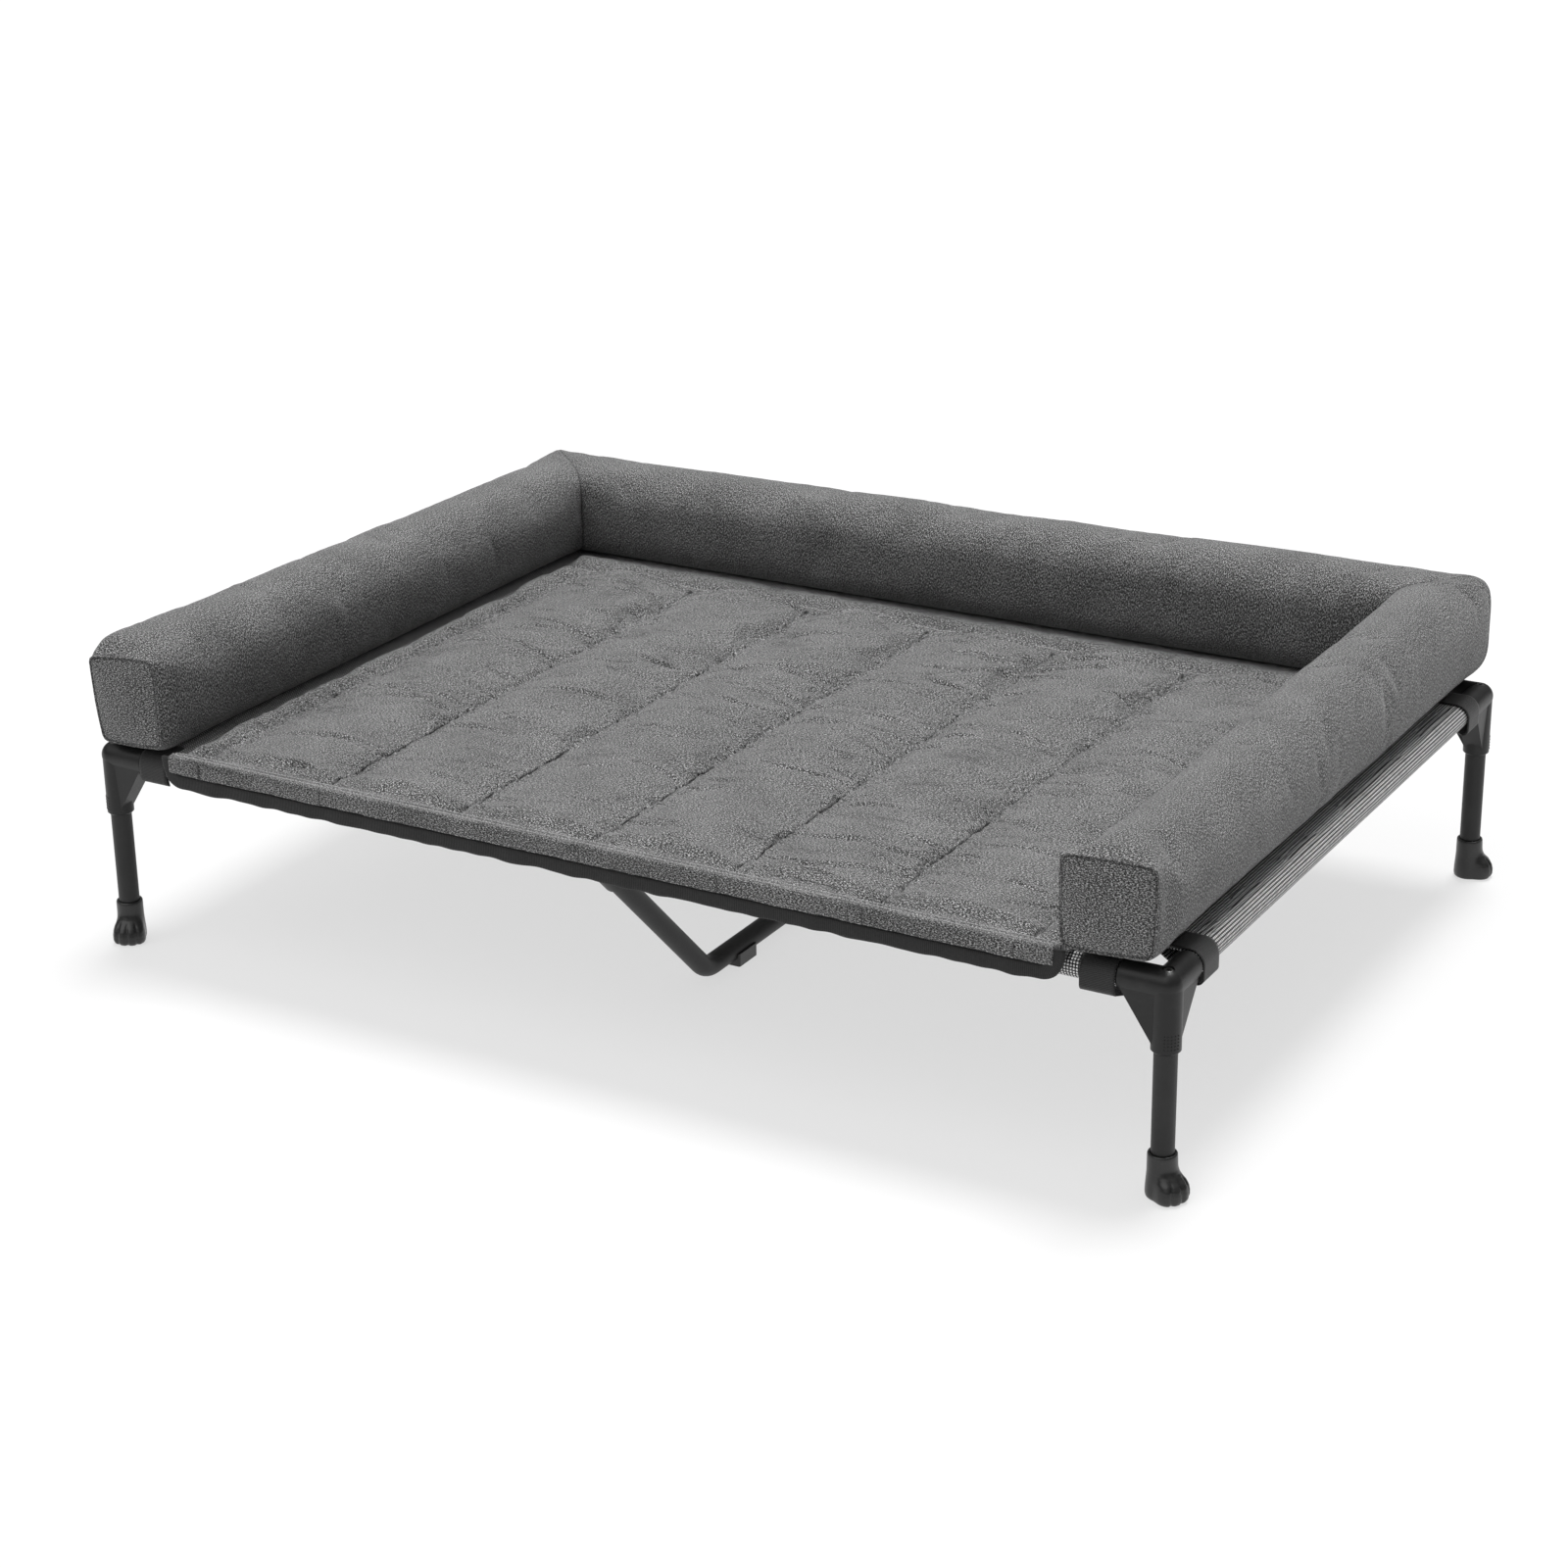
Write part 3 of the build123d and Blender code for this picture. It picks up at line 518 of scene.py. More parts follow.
def gathers(gx, gy, seamFront, seamBack, half):
    # fine folds across each seam, longer ones that run back from the front seam, and creases between
    nearSeam = seamDistance(gx, half)
    between = smoothRise(nearSeam, 0, 10 * mm)
    reach = (5 + 4 * waves(14, 9, 20 * mm, 90 * mm, gx, gy)) * mm
    short = np.exp(-nearSeam / np.maximum(reach, 2 * mm)) * smoothRise(nearSeam, 0, 3 * mm)
    slanted = gy + 0.35 * nearSeam
    rough = waves(4, 9, 7 * mm, 13 * mm, slanted)
    alongSeam = np.sign(rough) * np.abs(rough) ** 0.7
    fromSeam = 1.7 * mm * alongSeam * short
    skewed = gx + 0.35 * (gy - seamFront) * waves(6, 3, 90 * mm, 200 * mm, gx)
    fromFront = waves(5, 12, 9 * mm, 26 * mm, skewed) * np.exp(-(gy - seamFront) / (22 * mm))
    fromFront = 2.0 * mm * fromFront * smoothRise(gy, seamFront, seamFront + 8 * mm)
    fromBack = waves(15, 12, 9 * mm, 26 * mm, gx) * np.exp(-(seamBack - gy) / (18 * mm))
    fromBack = 1.5 * mm * fromBack * smoothRise(seamBack - gy, 0, 8 * mm)
    fold = creases(gx, gy, matLook["creases"], -half, half, seamFront + 15 * mm, seamBack - 10 * mm)
    ripple = 0.45 * mm * waves(3, 14, 14 * mm, 60 * mm, gx, gy)
    ends = smoothRise(gy, seamFront, seamFront + 12 * mm) * smoothRise(seamBack - gy, 0, 12 * mm)
    return (fromSeam + fromFront + fromBack + (fold + ripple) * between) * ends


def matShape():
    # x runs across the channels. The rows run from the back edge over the top, round the front fold and
    # down the hem. Each channel is a low arch between its seams, and the border is a lower one
    look = matLook
    half = look["channels"] / 2 * look["channelWidth"]
    edge = matHigh[0]
    share = np.linspace(0, 1, look["cellsPerChannel"] + 1)[:-1]
    share = share - 0.62 * np.sin(2 * math.pi * share) / (2 * math.pi)  # columns crowd towards the seams
    starts = -half + np.arange(look["channels"]) * look["channelWidth"]
    x = (starts[:, None] + share * look["channelWidth"]).ravel()
    x = np.concatenate([np.linspace(-edge, -half, 10)[:-1], x, np.linspace(half, edge, 10)])
    back, front, top, bottom = matHigh[1], matLow[1], matHigh[2], matLow[2]
    seamBack, seamFront = back - look["backSeam"], front + look["frontSeam"]
    radius = look["foldRadius"]
    y = spread((back, seamBack, 10), (seamBack, seamFront, 176), (seamFront, front + radius, 3))
    angle = np.radians([30, 60, 90])
    down = np.linspace(top - radius - 0.5 * mm, bottom + 1.5 * mm, 5)
    rowY = np.concatenate([y, front + radius - radius * np.sin(angle), np.full(5, front), [front + 1.5 * mm]])
    drop = np.concatenate([np.zeros(len(y)), radius * (1 - np.cos(angle)), top - down, [top - bottom]])
    topRows = len(y)
    grid = np.stack(np.broadcast_arrays(x[None], rowY[:, None], top - drop[:, None]), 2).copy()
    gx, gy = grid[..., 0], grid[..., 1]
    inside = np.abs(gx) < half
    phase = ((gx + half) / look["channelWidth"]) % 1.0
    arch = np.where(inside, np.abs(np.sin(math.pi * phase ** 1.25)) ** 0.45, 0)
    borderAt = np.clip((np.abs(gx) - half) / (edge - half), 0, 1)
    arch = np.where(inside, arch, 0.55 * np.sin(math.pi * np.clip(borderAt * 1.15, 0, 1)))
    fade = smoothRise(gy, seamFront, seamFront + 26 * mm) * (1 - smoothRise(gy, seamBack - 24 * mm, seamBack))
    behind = 0.5 * np.sin(math.pi * np.clip((gy - seamBack) / (back - seamBack), 0, 1))
    lift = np.where(gy > seamBack, behind, arch * (0.12 + 0.88 * fade))
    strip = (gy < seamFront + 0.1 * mm) | (np.arange(len(rowY))[:, None] >= topRows)
    height = np.where(strip, 0, -look["seamDepth"] + (look["seamDepth"] + look["puff"]) * lift)
    height = height * smoothRise(gy, seamFront - 0.1 * mm, seamFront + 9 * mm)
    atSides = look["edgeDrop"] * smoothRise(np.abs(gx), edge - 14 * mm, edge)
    height -= atSides * smoothRise(gy, front, front + 40 * mm)
    nearSeam = seamDistance(gx, half)
    grid[..., 2] += height
    hem = np.arange(len(rowY))[:, None] >= topRows
    pucker = waves(8, 10, 7 * mm, 40 * mm, gx) * 0.5 * mm + waves(9, 6, 60 * mm, 300 * mm, gx) * 0.7 * mm
    fromJoin = np.minimum(phase, 1 - phase) * look["channelWidth"]
    pucker = pucker + 0.9 * mm * np.exp(-(fromJoin / (1.8 * mm)) ** 2) * inside
    grid[..., 1] += np.where(hem, pucker * np.sin(np.clip(drop[:, None] / (top - bottom), 0, 1) * math.pi), 0)
    sway = waves(10, 6, 25 * mm, 120 * mm, gx) * 0.5 * mm * drop[:, None] / (top - bottom)
    grid[..., 2] += np.where(hem, sway, 0)
    # the hem's two ends are drawn in and rounded
    endIn = look["hemEnd"] * smoothRise(gy, front + 22 * mm, front)
    grid[..., 0] = gx * (1 - endIn / edge)
    flat = np.stack([gx, gy - drop[:, None]], 2)
    seams = (np.abs(phase - np.round(phase)) < 0.002) & (np.abs(gx) < half + 1 * mm)
    seams &= (gy < seamBack + 1 * mm) & (gy > seamFront - 1 * mm)
    rim = (np.abs(gx) > edge - 2 * mm) | (gy > back - 2 * mm)
    pins = seams | strip | rim | (np.abs(gy - seamBack) < 0.1 * mm)
    nearFront = gy - seamFront
    grow = np.maximum(np.exp(-(nearSeam / (16 * mm)) ** 2), np.exp(-(nearFront / (34 * mm)) ** 2))
    return grid, flat, pins, grow, topRows, (seamFront, seamBack, half)


matGrid, matFlat, matPins, matGrow, coarseTopRows, matSeams = matShape()
matSeamFront, matSeamBack, matHalf = matSeams
matTopRows = 2 * coarseTopRows - 1
matFaces, matFlats = quads(*matGrid.shape[:2])
matCorners = matFlat.reshape(-1, 2)[matFlats]
matTrial = meshPiece("mat_trial", matGrid.reshape(-1, 3), matFaces, matCorners, clothLook)
print("mat laid out", matGrid.shape)


sideLow, sideHigh = boxOf("bolster_cover_right")
rearLow, rearHigh = boxOf("bolster_cover_back")

bolsterLook = {
    "cells": 20, "spacing": 4.7 * mm, "inset": 1.5 * mm, "radius": 26 * mm, "panelRadius": 6 * mm,
    "panelBlend": 11 * mm, "pillow": 7 * mm, "barrel": 0.04, "foot": 0.4 * mm, "mitreGap": 0.2 * mm,
    "quality": 6, "mass": 0.06, "stretch": 14, "bend": 0.35, "growLittle": 0.006, "growMuch": 0.09,
    "pressure": 2.2, "cap": 9 * mm,
}
panelLook = {  # each open-front panel's four corners, in mm: across (outward is positive) and above its foot,
    # from the inner bottom corner round by the outer side to the inner top corner
    "right": ((-55, 9), (33, 14), (35, 100), (-57, 97)),
    "left": ((-43, 12), (34, 8.5), (44, 98), (-40, 106)),
}
leanLook = {  # how far each side bolster's outer side and its top stand off the plain section, front and back
    "right": {"outFront": -14 * mm, "outBack": -13 * mm, "upFront": 3 * mm, "upBack": 12 * mm},
    "left": {"outFront": 5 * mm, "outBack": 5 * mm, "upFront": 13 * mm, "upBack": 1 * mm},
}


def roundedRing(width, low, high, radius, cells):
    # a rounded rectangle, centred on 0 and from low to high, as four sides of equal steps: each side runs
    # from the middle of one corner's arc to the middle of the next, starting bottom left
    side = []
    corners = [(-1, 0), (1, 0), (1, 1), (-1, 1)]
    for k in range(4):
        fine = []
        for end, (cx, cz) in enumerate((corners[k], corners[(k + 1) % 4])):
            centreX = cx * (width / 2 - radius)
            centreZ = high - radius if cz else low + radius
            begin = math.radians(-135 + 90 * (k + end))
            arc = np.linspace(begin, begin + math.radians(45), 10) if end == 0 else np.linspace(
                begin - math.radians(45), begin, 10)
            fine.append(np.stack([centreX + radius * np.cos(arc), centreZ + radius * np.sin(arc)], 1))
        fine = np.concatenate(fine)
        reach = np.concatenate([[0], np.cumsum(np.linalg.norm(np.diff(fine, axis=0), axis=1))])
        even = np.linspace(0, reach[-1], cells + 1)[:-1]
        side.append(np.stack([np.interp(even, reach, fine[:, a]) for a in (0, 1)], 1))
    return np.concatenate(side)


def bentTo(ring, corners):
    # moves a ring drawn in the square from -1 to 1 so that the square's corners land on the four given,
    # and its sides bow out a little
    bow = bolsterLook["barrel"]
    ring = ring * (1 + bow * (1 - ring[:, ::-1] ** 2))
    u, v = (ring[:, :1] + 1) / 2, (ring[:, 1:] + 1) / 2
    lowLeft, lowRight, highRight, highLeft = np.array(corners) * mm
    return (1 - v) * ((1 - u) * lowLeft + u * lowRight) + v * ((1 - u) * highLeft + u * highRight)


def patch(ring, cells):
    # fills a closed ring of four equal sides with a grid: each point blends the four sides (a Coons patch)
    n = cells
    low, right = ring[:n + 1], ring[n:2 * n + 1]
    high, left = ring[2 * n:3 * n + 1][::-1], np.concatenate([ring[3 * n:], ring[:1]])[::-1]
    u, v = np.linspace(0, 1, n + 1)[:, None, None], np.linspace(0, 1, n + 1)[None, :, None]
    sides = (1 - v) * low[:, None] + v * high[:, None] + (1 - u) * left[None] + u * right[None]
    corners = (1 - u) * (1 - v) * low[0] + u * (1 - v) * low[-1] + (1 - u) * v * high[0] + u * v * high[-1]
    return sides - corners


def bolster(name, sections, starts, ends, toSpace, look, pillow=0.0):
    # a rounded-square section carried along the bolster. sections gives the ring at each distance, and
    # starts and ends say where each ring point begins and ends, so that an end may be a mitre.
    # toSpace turns (across, height, along) into a point. A patch closes each end
    cells = look["cells"]
    first = sections(np.zeros(1))[0]
    length = float((ends(first) - starts(first)).mean())
    rows = int(length / look["spacing"]) + 1
    share = np.linspace(0, 1, rows)
    rings = sections(share * length)
    begin, finish = starts(rings), ends(rings)
    along = begin + share[:, None] * (finish - begin)
    grid = np.concatenate([rings, along[..., None]], 2)
    reach = np.linalg.norm(np.diff(np.concatenate([rings, rings[:, :1]], 1), axis=1), axis=2)
    around = np.concatenate([np.zeros((rows, 1)), np.cumsum(reach, axis=1)], 1)
    around = np.broadcast_to(around.mean(0), around.shape)
    flat = np.stack([around, np.concatenate([along, along[:, :1]], 1)], 2)
    faces, flats = quads(rows, 4 * cells, wrap=True)
    parts, corners, offset = [grid.reshape(-1, 3)], [flat.reshape(-1, 2)[flats]], rows * 4 * cells
    allFaces = [faces]
    swell = np.sin(np.linspace(0, math.pi, cells + 1)) ** 0.7
    for row in (0, rows - 1):
        cap = patch(grid[row], cells)
        if row == 0:
            cap[..., 2] -= pillow * swell[:, None] * swell[None]
        capFaces, capFlats = quads(cells + 1, cells + 1)
        parts.append(cap.reshape(-1, 3))
        allFaces.append(capFaces + offset)
        corners.append(cap.reshape(-1, 3)[:, :2][capFlats])
        offset += (cells + 1) ** 2
    points = np.concatenate(parts)
    corners = np.concatenate(corners)
    return meshPiece(name, toSpace(points), np.concatenate(allFaces), corners, clothLook, merge=True)


def sideBolster(side):
    look, panel = bolsterLook, panelLook[side]
    sign = 1 if side == "right" else -1
    middle = (sideLow[0] + sideHigh[0]) / 2
    wide = sideHigh[0] - sideLow[0]
    tall = sideHigh[2] - sideLow[2]
    bodyWidth, bodyHigh = wide - 2 * look["inset"], tall - look["inset"]
    toMitre = (rearHigh[1] + rearLow[1]) / 2

    def sections(distance):
        # the sewn panel's ring opens into the fuller body over the first stretch
        opening = np.exp(-(distance / look["panelBlend"]) ** 1.5)[:, None, None]
        body = roundedRing(bodyWidth, look["foot"], bodyHigh, look["radius"], look["cells"])
        ends = bentTo(roundedRing(2, -1, 1, look["panelRadius"] / (45 * mm), look["cells"]), panel)
        sag = waves(21 + sign, 5, 160 * mm, 600 * mm, distance)[:, None] * 0.6 * mm
        rings = body[None] * (1 - opening) + ends[None] * opening
        rings[..., 1] += sag * smoothRise(rings[..., 1], 20 * mm, 90 * mm) * (1 - opening[..., 0])
        return rings

    def starts(rings):
        return np.full(rings.shape[:-1], sideLow[1])

    def ends(rings):
        return toMitre + rings[..., 0] - look["mitreGap"]

    def toSpace(points):
        return np.stack([sign * (middle + points[:, 0]), points[:, 2], sideLow[2] + points[:, 1]], 1)

    piece = bolster("bolster_" + side, sections, starts, ends, toSpace, look, look["pillow"])
    ring = toSpace(np.concatenate([sections(np.zeros(1))[0], np.full((4 * look["cells"], 1), sideLow[1])], 1))
    return piece, ring


def backBolster():
    look = bolsterLook
    middle = (rearLow[1] + rearHigh[1]) / 2
    toMitre = (sideLow[0] + sideHigh[0]) / 2
    wide = rearHigh[1] - rearLow[1]
    tall = rearHigh[2] - rearLow[2]
    bodyWidth, bodyHigh = wide - 2 * look["inset"], tall - look["inset"]
    body = roundedRing(bodyWidth, look["foot"], bodyHigh, look["radius"], look["cells"])

    def sections(distance):
        rings = np.repeat(body[None], len(distance), axis=0)
        sag = waves(31, 6, 180 * mm, 700 * mm, distance)[:, None] * 0.6 * mm
        clear = smoothRise(distance, 0, 60 * mm)
        clear = clear * (1 - smoothRise(distance, 2 * toMitre - 60 * mm, 2 * toMitre))
        rings[..., 1] += sag * smoothRise(rings[..., 1], 20 * mm, 90 * mm) * clear[:, None]
        return rings

    def starts(rings):
        return -(toMitre + rings[..., 0]) + look["mitreGap"]

    def ends(rings):
        return toMitre + rings[..., 0] - look["mitreGap"]

    def toSpace(points):
        return np.stack([points[:, 2], middle + points[:, 0], rearLow[2] + points[:, 1]], 1)

    return bolster("bolster_back", sections, starts, ends, toSpace, look)


bolsterRight, ringRight = sideBolster("right")
bolsterLeft, ringLeft = sideBolster("left")
bolsterBack = backBolster()
print("bolsters laid out")


def bolsterPins(piece, ring):
    # held: the foot that rests on the deck, the mitred ends, and the sewn ring of the front panel
    points = pointsOf(piece)
    foot = points[:, 2] < sideLow[2] + 2 * mm
    middleX, middleY = (sideLow[0] + sideHigh[0]) / 2, (rearLow[1] + rearHigh[1]) / 2
    mitre = np.abs((np.abs(points[:, 0]) - middleX) - (points[:, 1] - middleY)) < 1 * mm
    pins = (foot | mitre).astype(float)
    seam = np.abs((np.abs(points[:, 0]) - middleX) - (points[:, 1] - middleY))
    grow = np.exp(-(seam / (60 * mm)) ** 2)
    if ring is not None:
        away = np.sqrt(((points[:, None, ::2] - ring[None, ::2, ::2]) ** 2).sum(2)).min(1)
        onFront = points[:, 1] < sideLow[1] + 0.5 * mm
        pins = np.maximum(pins, (onFront & (away < 2.6 * mm)).astype(float))
        grow = np.maximum(grow, np.exp(-((points[:, 1] - sideLow[1]) / (45 * mm)) ** 2) * 0.9)
    return pins, grow


jobs = [(matTrial, matPins.ravel().astype(float), matGrow.ravel(), matLook)]
for piece, ring in ((bolsterRight, ringRight), (bolsterLeft, ringLeft), (bolsterBack, None)):
    jobs.append((piece, *bolsterPins(piece, ring), bolsterLook))
relax(jobs)
print("cloth relaxed")


def lean(points):
    # the three bolsters stand a little off the plain section, the same way where they meet: the right one
    # is slimmer, and their tops rise or sink from the front panels to the back corners
    side = np.where(points[:, 0] > 0, 1.0, 0.0)
    across = np.abs(points[:, 0]) - (sideLow[0] + sideHigh[0]) / 2
    fromPanel = points[:, 1] - sideLow[1]
    clear = 1 - np.exp(-(np.maximum(fromPanel, 0) / bolsterLook["panelBlend"]) ** 1.5)
    back = smoothRise(fromPanel, 0, 0.75)
    toRight = smoothRise(points[:, 0], -sideHigh[0], sideHigh[0])

    def shared(key, share):
        front = leanLook["left"][key + "Front"] * (1 - share) + leanLook["right"][key + "Front"] * share
        rear = leanLook["left"][key + "Back"] * (1 - share) + leanLook["right"][key + "Back"] * share
        return (front * (1 - back) + rear * back) * clear

    out = shared("out", side) * smoothRise(across, -20 * mm, 50 * mm)
    up = shared("up", toRight) * smoothRise(points[:, 2] - sideLow[2], 20 * mm, 100 * mm)
    return points + np.stack([out * np.sign(points[:, 0]), np.zeros(len(points)), up], 1)


for piece in (bolsterRight, bolsterLeft, bolsterBack):
    setPoints(piece, lean(pointsOf(piece)))
    rounder = piece.modifiers.new("rounder", "SUBSURF")
    rounder.levels = rounder.render_levels = 1
    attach(piece, "topper")
for piece, side in ((bolsterRight, "right"), (bolsterLeft, "left"), (bolsterBack, "back")):
    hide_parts("bolster_cover_" + side, "bolster_fill_" + side)


def finerRows(grid):
    # a row halfway between every two rows, on the smooth curve through the four rows around it
    ring = np.concatenate([grid[:1], grid, grid[-1:]])
    halfway = (9 * (grid[:-1] + grid[1:]) - ring[:-3] - ring[3:]) / 16
    finer = np.zeros((2 * len(grid) - 1,) + grid.shape[1:])
    finer[::2], finer[1::2] = grid, halfway
    return finer


def mat():
    # the top after it has relaxed, over a plain underside that follows the hem's inside
    look = matLook
    top = finerRows(pointsOf(matTrial).reshape(matGrid.shape))
    flat = finerRows(matFlat)
    bpy.data.objects.remove(matTrial)
    face = top[:matTopRows]
    face[..., 2] += gathers(face[..., 0], face[..., 1], matSeamFront, matSeamBack, matHalf)
    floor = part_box("mesh_deck")[1].z + look["underside"]
    face[..., 2] = np.maximum(face[..., 2], floor + look["thinnest"])
    under = top.copy()
    inner = matLow[1] + look["hemThick"]
    under[..., 1] = np.maximum(top[..., 1], inner)
    under[:matTopRows, :, 2] = floor
    under[matTopRows:, :, 2] = np.minimum(top[matTopRows:, :, 2], floor)
    under[..., 0] = np.clip(under[..., 0], -matHigh[0] + look["tucked"], matHigh[0] - look["tucked"])
    piece = closedSheet("mat_quilted", top, under, flat, quiltLook)
    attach(piece, "topper")
    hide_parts("mat_cover", "mat_fill")
    return top


matTop = mat()
print("mat made")


stitchLook = {"pitch": 4.0 * mm, "length": 3.3 * mm, "radius": 0.55 * mm}


def sewnRow(name, path, up, material):
    row = stitches(name, path, up, stitchLook, material)
    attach(row, "topper")


def matStitching():
    columns = matGrid[0, :, 0]
    rows = matTop[:, matGrid.shape[1] // 2, 1]
    above = np.array([0, 0, 0.25 * mm])
    hemRows = {"hem_stitches_upper": matSeamFront - 1.2 * mm, "hem_stitches_lower": matLow[1] + 4.5 * mm}
    for label, y in hemRows.items():
        path = []
        for column in np.moveaxis(matTop[:matTopRows], 1, 0):
            path.append([np.interp(-y, -column[:, 1], column[:, a]) for a in range(3)])
        sewnRow(label, np.array(path)[1:-1] + above, (0, 0, 1), paleThread)
    inside = (rows < matSeamBack + 1 * mm) & (rows > matSeamFront - 1 * mm)
    inside &= np.arange(len(rows)) < matTopRows
    for k in range(matLook["channels"] + 1):
        at = int(np.argmin(np.abs(columns - (-matHalf + k * matLook["channelWidth"]))))
        thread = paleThread if k in (0, matLook["channels"]) else darkThread
        down = matTop[matTopRows + 6:, at] + np.array([0, -0.35 * mm, 0])
        sewnRow("hem_join_" + str(k), down, (0, -1, 0), darkThread)
        sewnRow("channel_stitches_" + str(k), matTop[inside, at] + above, (0, 0, 1), thread)
    at = int(np.argmin(np.abs(rows - matSeamBack)))
    sewnRow("back_stitches", matTop[at, 4:-4] + above, (0, 0, 1), paleThread)


def panelSeam(side, ring):
    # a narrow ridge where the panel is sewn to the body, with stitches just inside it
    look = {"radius": 1.0 * mm, "around": 8, "proud": 0.2 * mm}
    closed = np.concatenate([ring, ring[:1]])
    centre = ring.mean(0)
    outward = ring - centre
    outward[:, 1] = 0
    outward /= np.linalg.norm(outward, axis=1, keepdims=True)
    turn = np.linspace(0, 2 * math.pi, look["around"] + 1)[:-1]
    size = look["radius"] * (1 + 0.2 * waves(41, 4, 6, 25, np.arange(len(ring)) * 1.0))
    across = (size[:, None] * np.cos(turn))[..., None] * outward[:, None]
    ahead = (size[:, None] * np.sin(turn))[..., None] * np.array([0, 1, 0])
    tube = ring[:, None] + outward[:, None] * look["proud"] + across + ahead
    tube = np.concatenate([tube, tube[:1]])
    faces, flats = quads(*tube.shape[:2], wrap=True)
    step = np.concatenate([[0], np.cumsum(np.linalg.norm(np.diff(closed, axis=0), axis=1))])
    wide = np.linspace(0, 6 * mm, look["around"] + 1)
    flat = np.stack(np.broadcast_arrays(step[:, None], wide[None]), 2)
    corners = flat.reshape(-1, 2)[flats]
    piece = meshPiece("panel_seam_" + side, tube.reshape(-1, 3), faces, corners, clothLook, merge=True)
    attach(piece, "topper")
    inner = closed + np.concatenate([outward, outward[:1]]) * -2.2 * mm + np.array([0, -0.6 * mm, 0])
    sewnRow("panel_stitches_" + side, inner, (0, -1, 0), darkThread)


matStitching()
panelSeam("right", ringRight)
panelSeam("left", ringLeft)
print("seams sewn")


bindingLow, bindingHigh = boxOf("front_binding")


def frontBinding():
    # a folded black tape under the hem: it runs along the front and turns up round both corners. Its
    # section is a flattened ring carried along that path, with an uneven lower edge
    look = {"width": 15 * mm, "thick": 5 * mm, "bend": 20 * mm, "around": 20, "spacing": 4 * mm}
    halfRun = bindingHigh[0] - 6 * mm
    low = bindingLow[2] + look["width"] / 2 + 1 * mm
    high = matHigh[2] - 3 * mm
    angle = np.linspace(0, math.pi / 2, 14)
    bend = look["bend"]
    cornerX = halfRun - bend + bend * np.sin(angle)
    cornerZ = low + bend - bend * np.cos(angle)
    rightX = np.concatenate([np.linspace(0, halfRun - bend, 130)[:-1], cornerX, [halfRun] * 4])
    rightZ = np.concatenate([np.full(129, low), cornerZ, np.linspace(low + bend, high, 5)[1:]])
    x = np.concatenate([-rightX[:0:-1], rightX])
    z = np.concatenate([rightZ[:0:-1], rightZ])
    ahead = np.stack([np.gradient(x), np.gradient(z)], 1)
    ahead /= np.linalg.norm(ahead, axis=1, keepdims=True)
    out = np.stack([ahead[:, 1], -ahead[:, 0]], 1)  # away from the mat: down along the front
    turn = np.linspace(0, 2 * math.pi, look["around"] + 1)[:-1]
    thinner = np.abs(np.cos(turn)) ** 0.5 * np.sign(np.cos(turn))
    across = thinner * look["width"] / 2
    deep = np.sign(np.sin(turn)) * np.abs(np.sin(turn)) ** 0.6 * look["thick"] / 2
    reach = np.concatenate([[0], np.cumsum(np.hypot(np.diff(x), np.diff(z)))])
    edgeWave = waves(51, 8, 18 * mm, 90 * mm, reach)[:, None] * 0.7 * mm * np.clip(thinner, 0, 1)
    bodyWave = waves(52, 6, 40 * mm, 260 * mm, reach)[:, None] * 0.6 * mm
    shrink = 1 - 0.25 * smoothRise(np.abs(x), halfRun - 8 * mm, halfRun)[:, None]
    width = across[None] * shrink + edgeWave
    middleY = bindingLow[1] + look["thick"] / 2 + 0.3 * mm
    grid = np.stack([x[:, None] + out[:, :1] * width, middleY + deep[None] + bodyWave,
                     z[:, None] + out[:, 1:] * width], 2)
    faces, flats = quads(*grid.shape[:2], wrap=True)
    wide = np.linspace(0, 40 * mm, look["around"] + 1)
    flat = np.stack(np.broadcast_arrays(reach[:, None], wide[None]), 2)
    points = np.concatenate([grid.reshape(-1, 3), grid[0].mean(0)[None], grid[-1].mean(0)[None]])
    count, around = len(x), look["around"]
    k = np.arange(around)
    ends = []
    for row, pole in ((0, count * around), (count - 1, count * around + 1)):
        ends.append(np.stack([row * around + k, row * around + (k + 1) % around, np.full(around, pole)], 1))
    ends = np.concatenate(ends)
    corners = np.concatenate([flat.reshape(-1, 2)[flats.ravel()], np.zeros((ends.size, 2))])
    piece = meshPiece("front_tape", points, faces.tolist() + ends.tolist(), corners, tapeLook)
    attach(piece, "topper")
    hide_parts("front_binding")


frontBinding()
print("binding made")


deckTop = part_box("mesh_deck")[1].z
railRadius = (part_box("right_rail")[1].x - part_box("right_rail")[0].x) / 2
railZ = (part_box("right_rail")[1].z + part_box("right_rail")[0].z) / 2


def deckPanel():
    # a tight flat sheet, cut away at the corners: a grid whose rows shorten near the front and the back
    look = {"thick": 1.0 * mm, "corner": 46 * mm, "round": 6 * mm, "cells": 150}
    u, v = np.linspace(-1, 1, look["cells"]), np.linspace(-1, 1, int(look["cells"] * 0.7))
    v, u = np.meshgrid(v, u, indexing="ij")
    cutFrom = legY - look["corner"]
    cutIn = look["corner"] * smoothRise(np.abs(v) * legY, cutFrom - look["round"], cutFrom + look["round"])
    x = u * (legX - cutIn)
    y = v * legY
    z = deckTop - 0.7 * mm - 0.6 * mm * (1 - u ** 2) * (1 - v ** 2)
    grid = np.stack([x, y, z], 2)
    piece = thinSheet("deck_panel", grid, np.stack([x, y], 2), look["thick"], meshLook)
    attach(piece, "frame")
    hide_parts("mesh_deck")


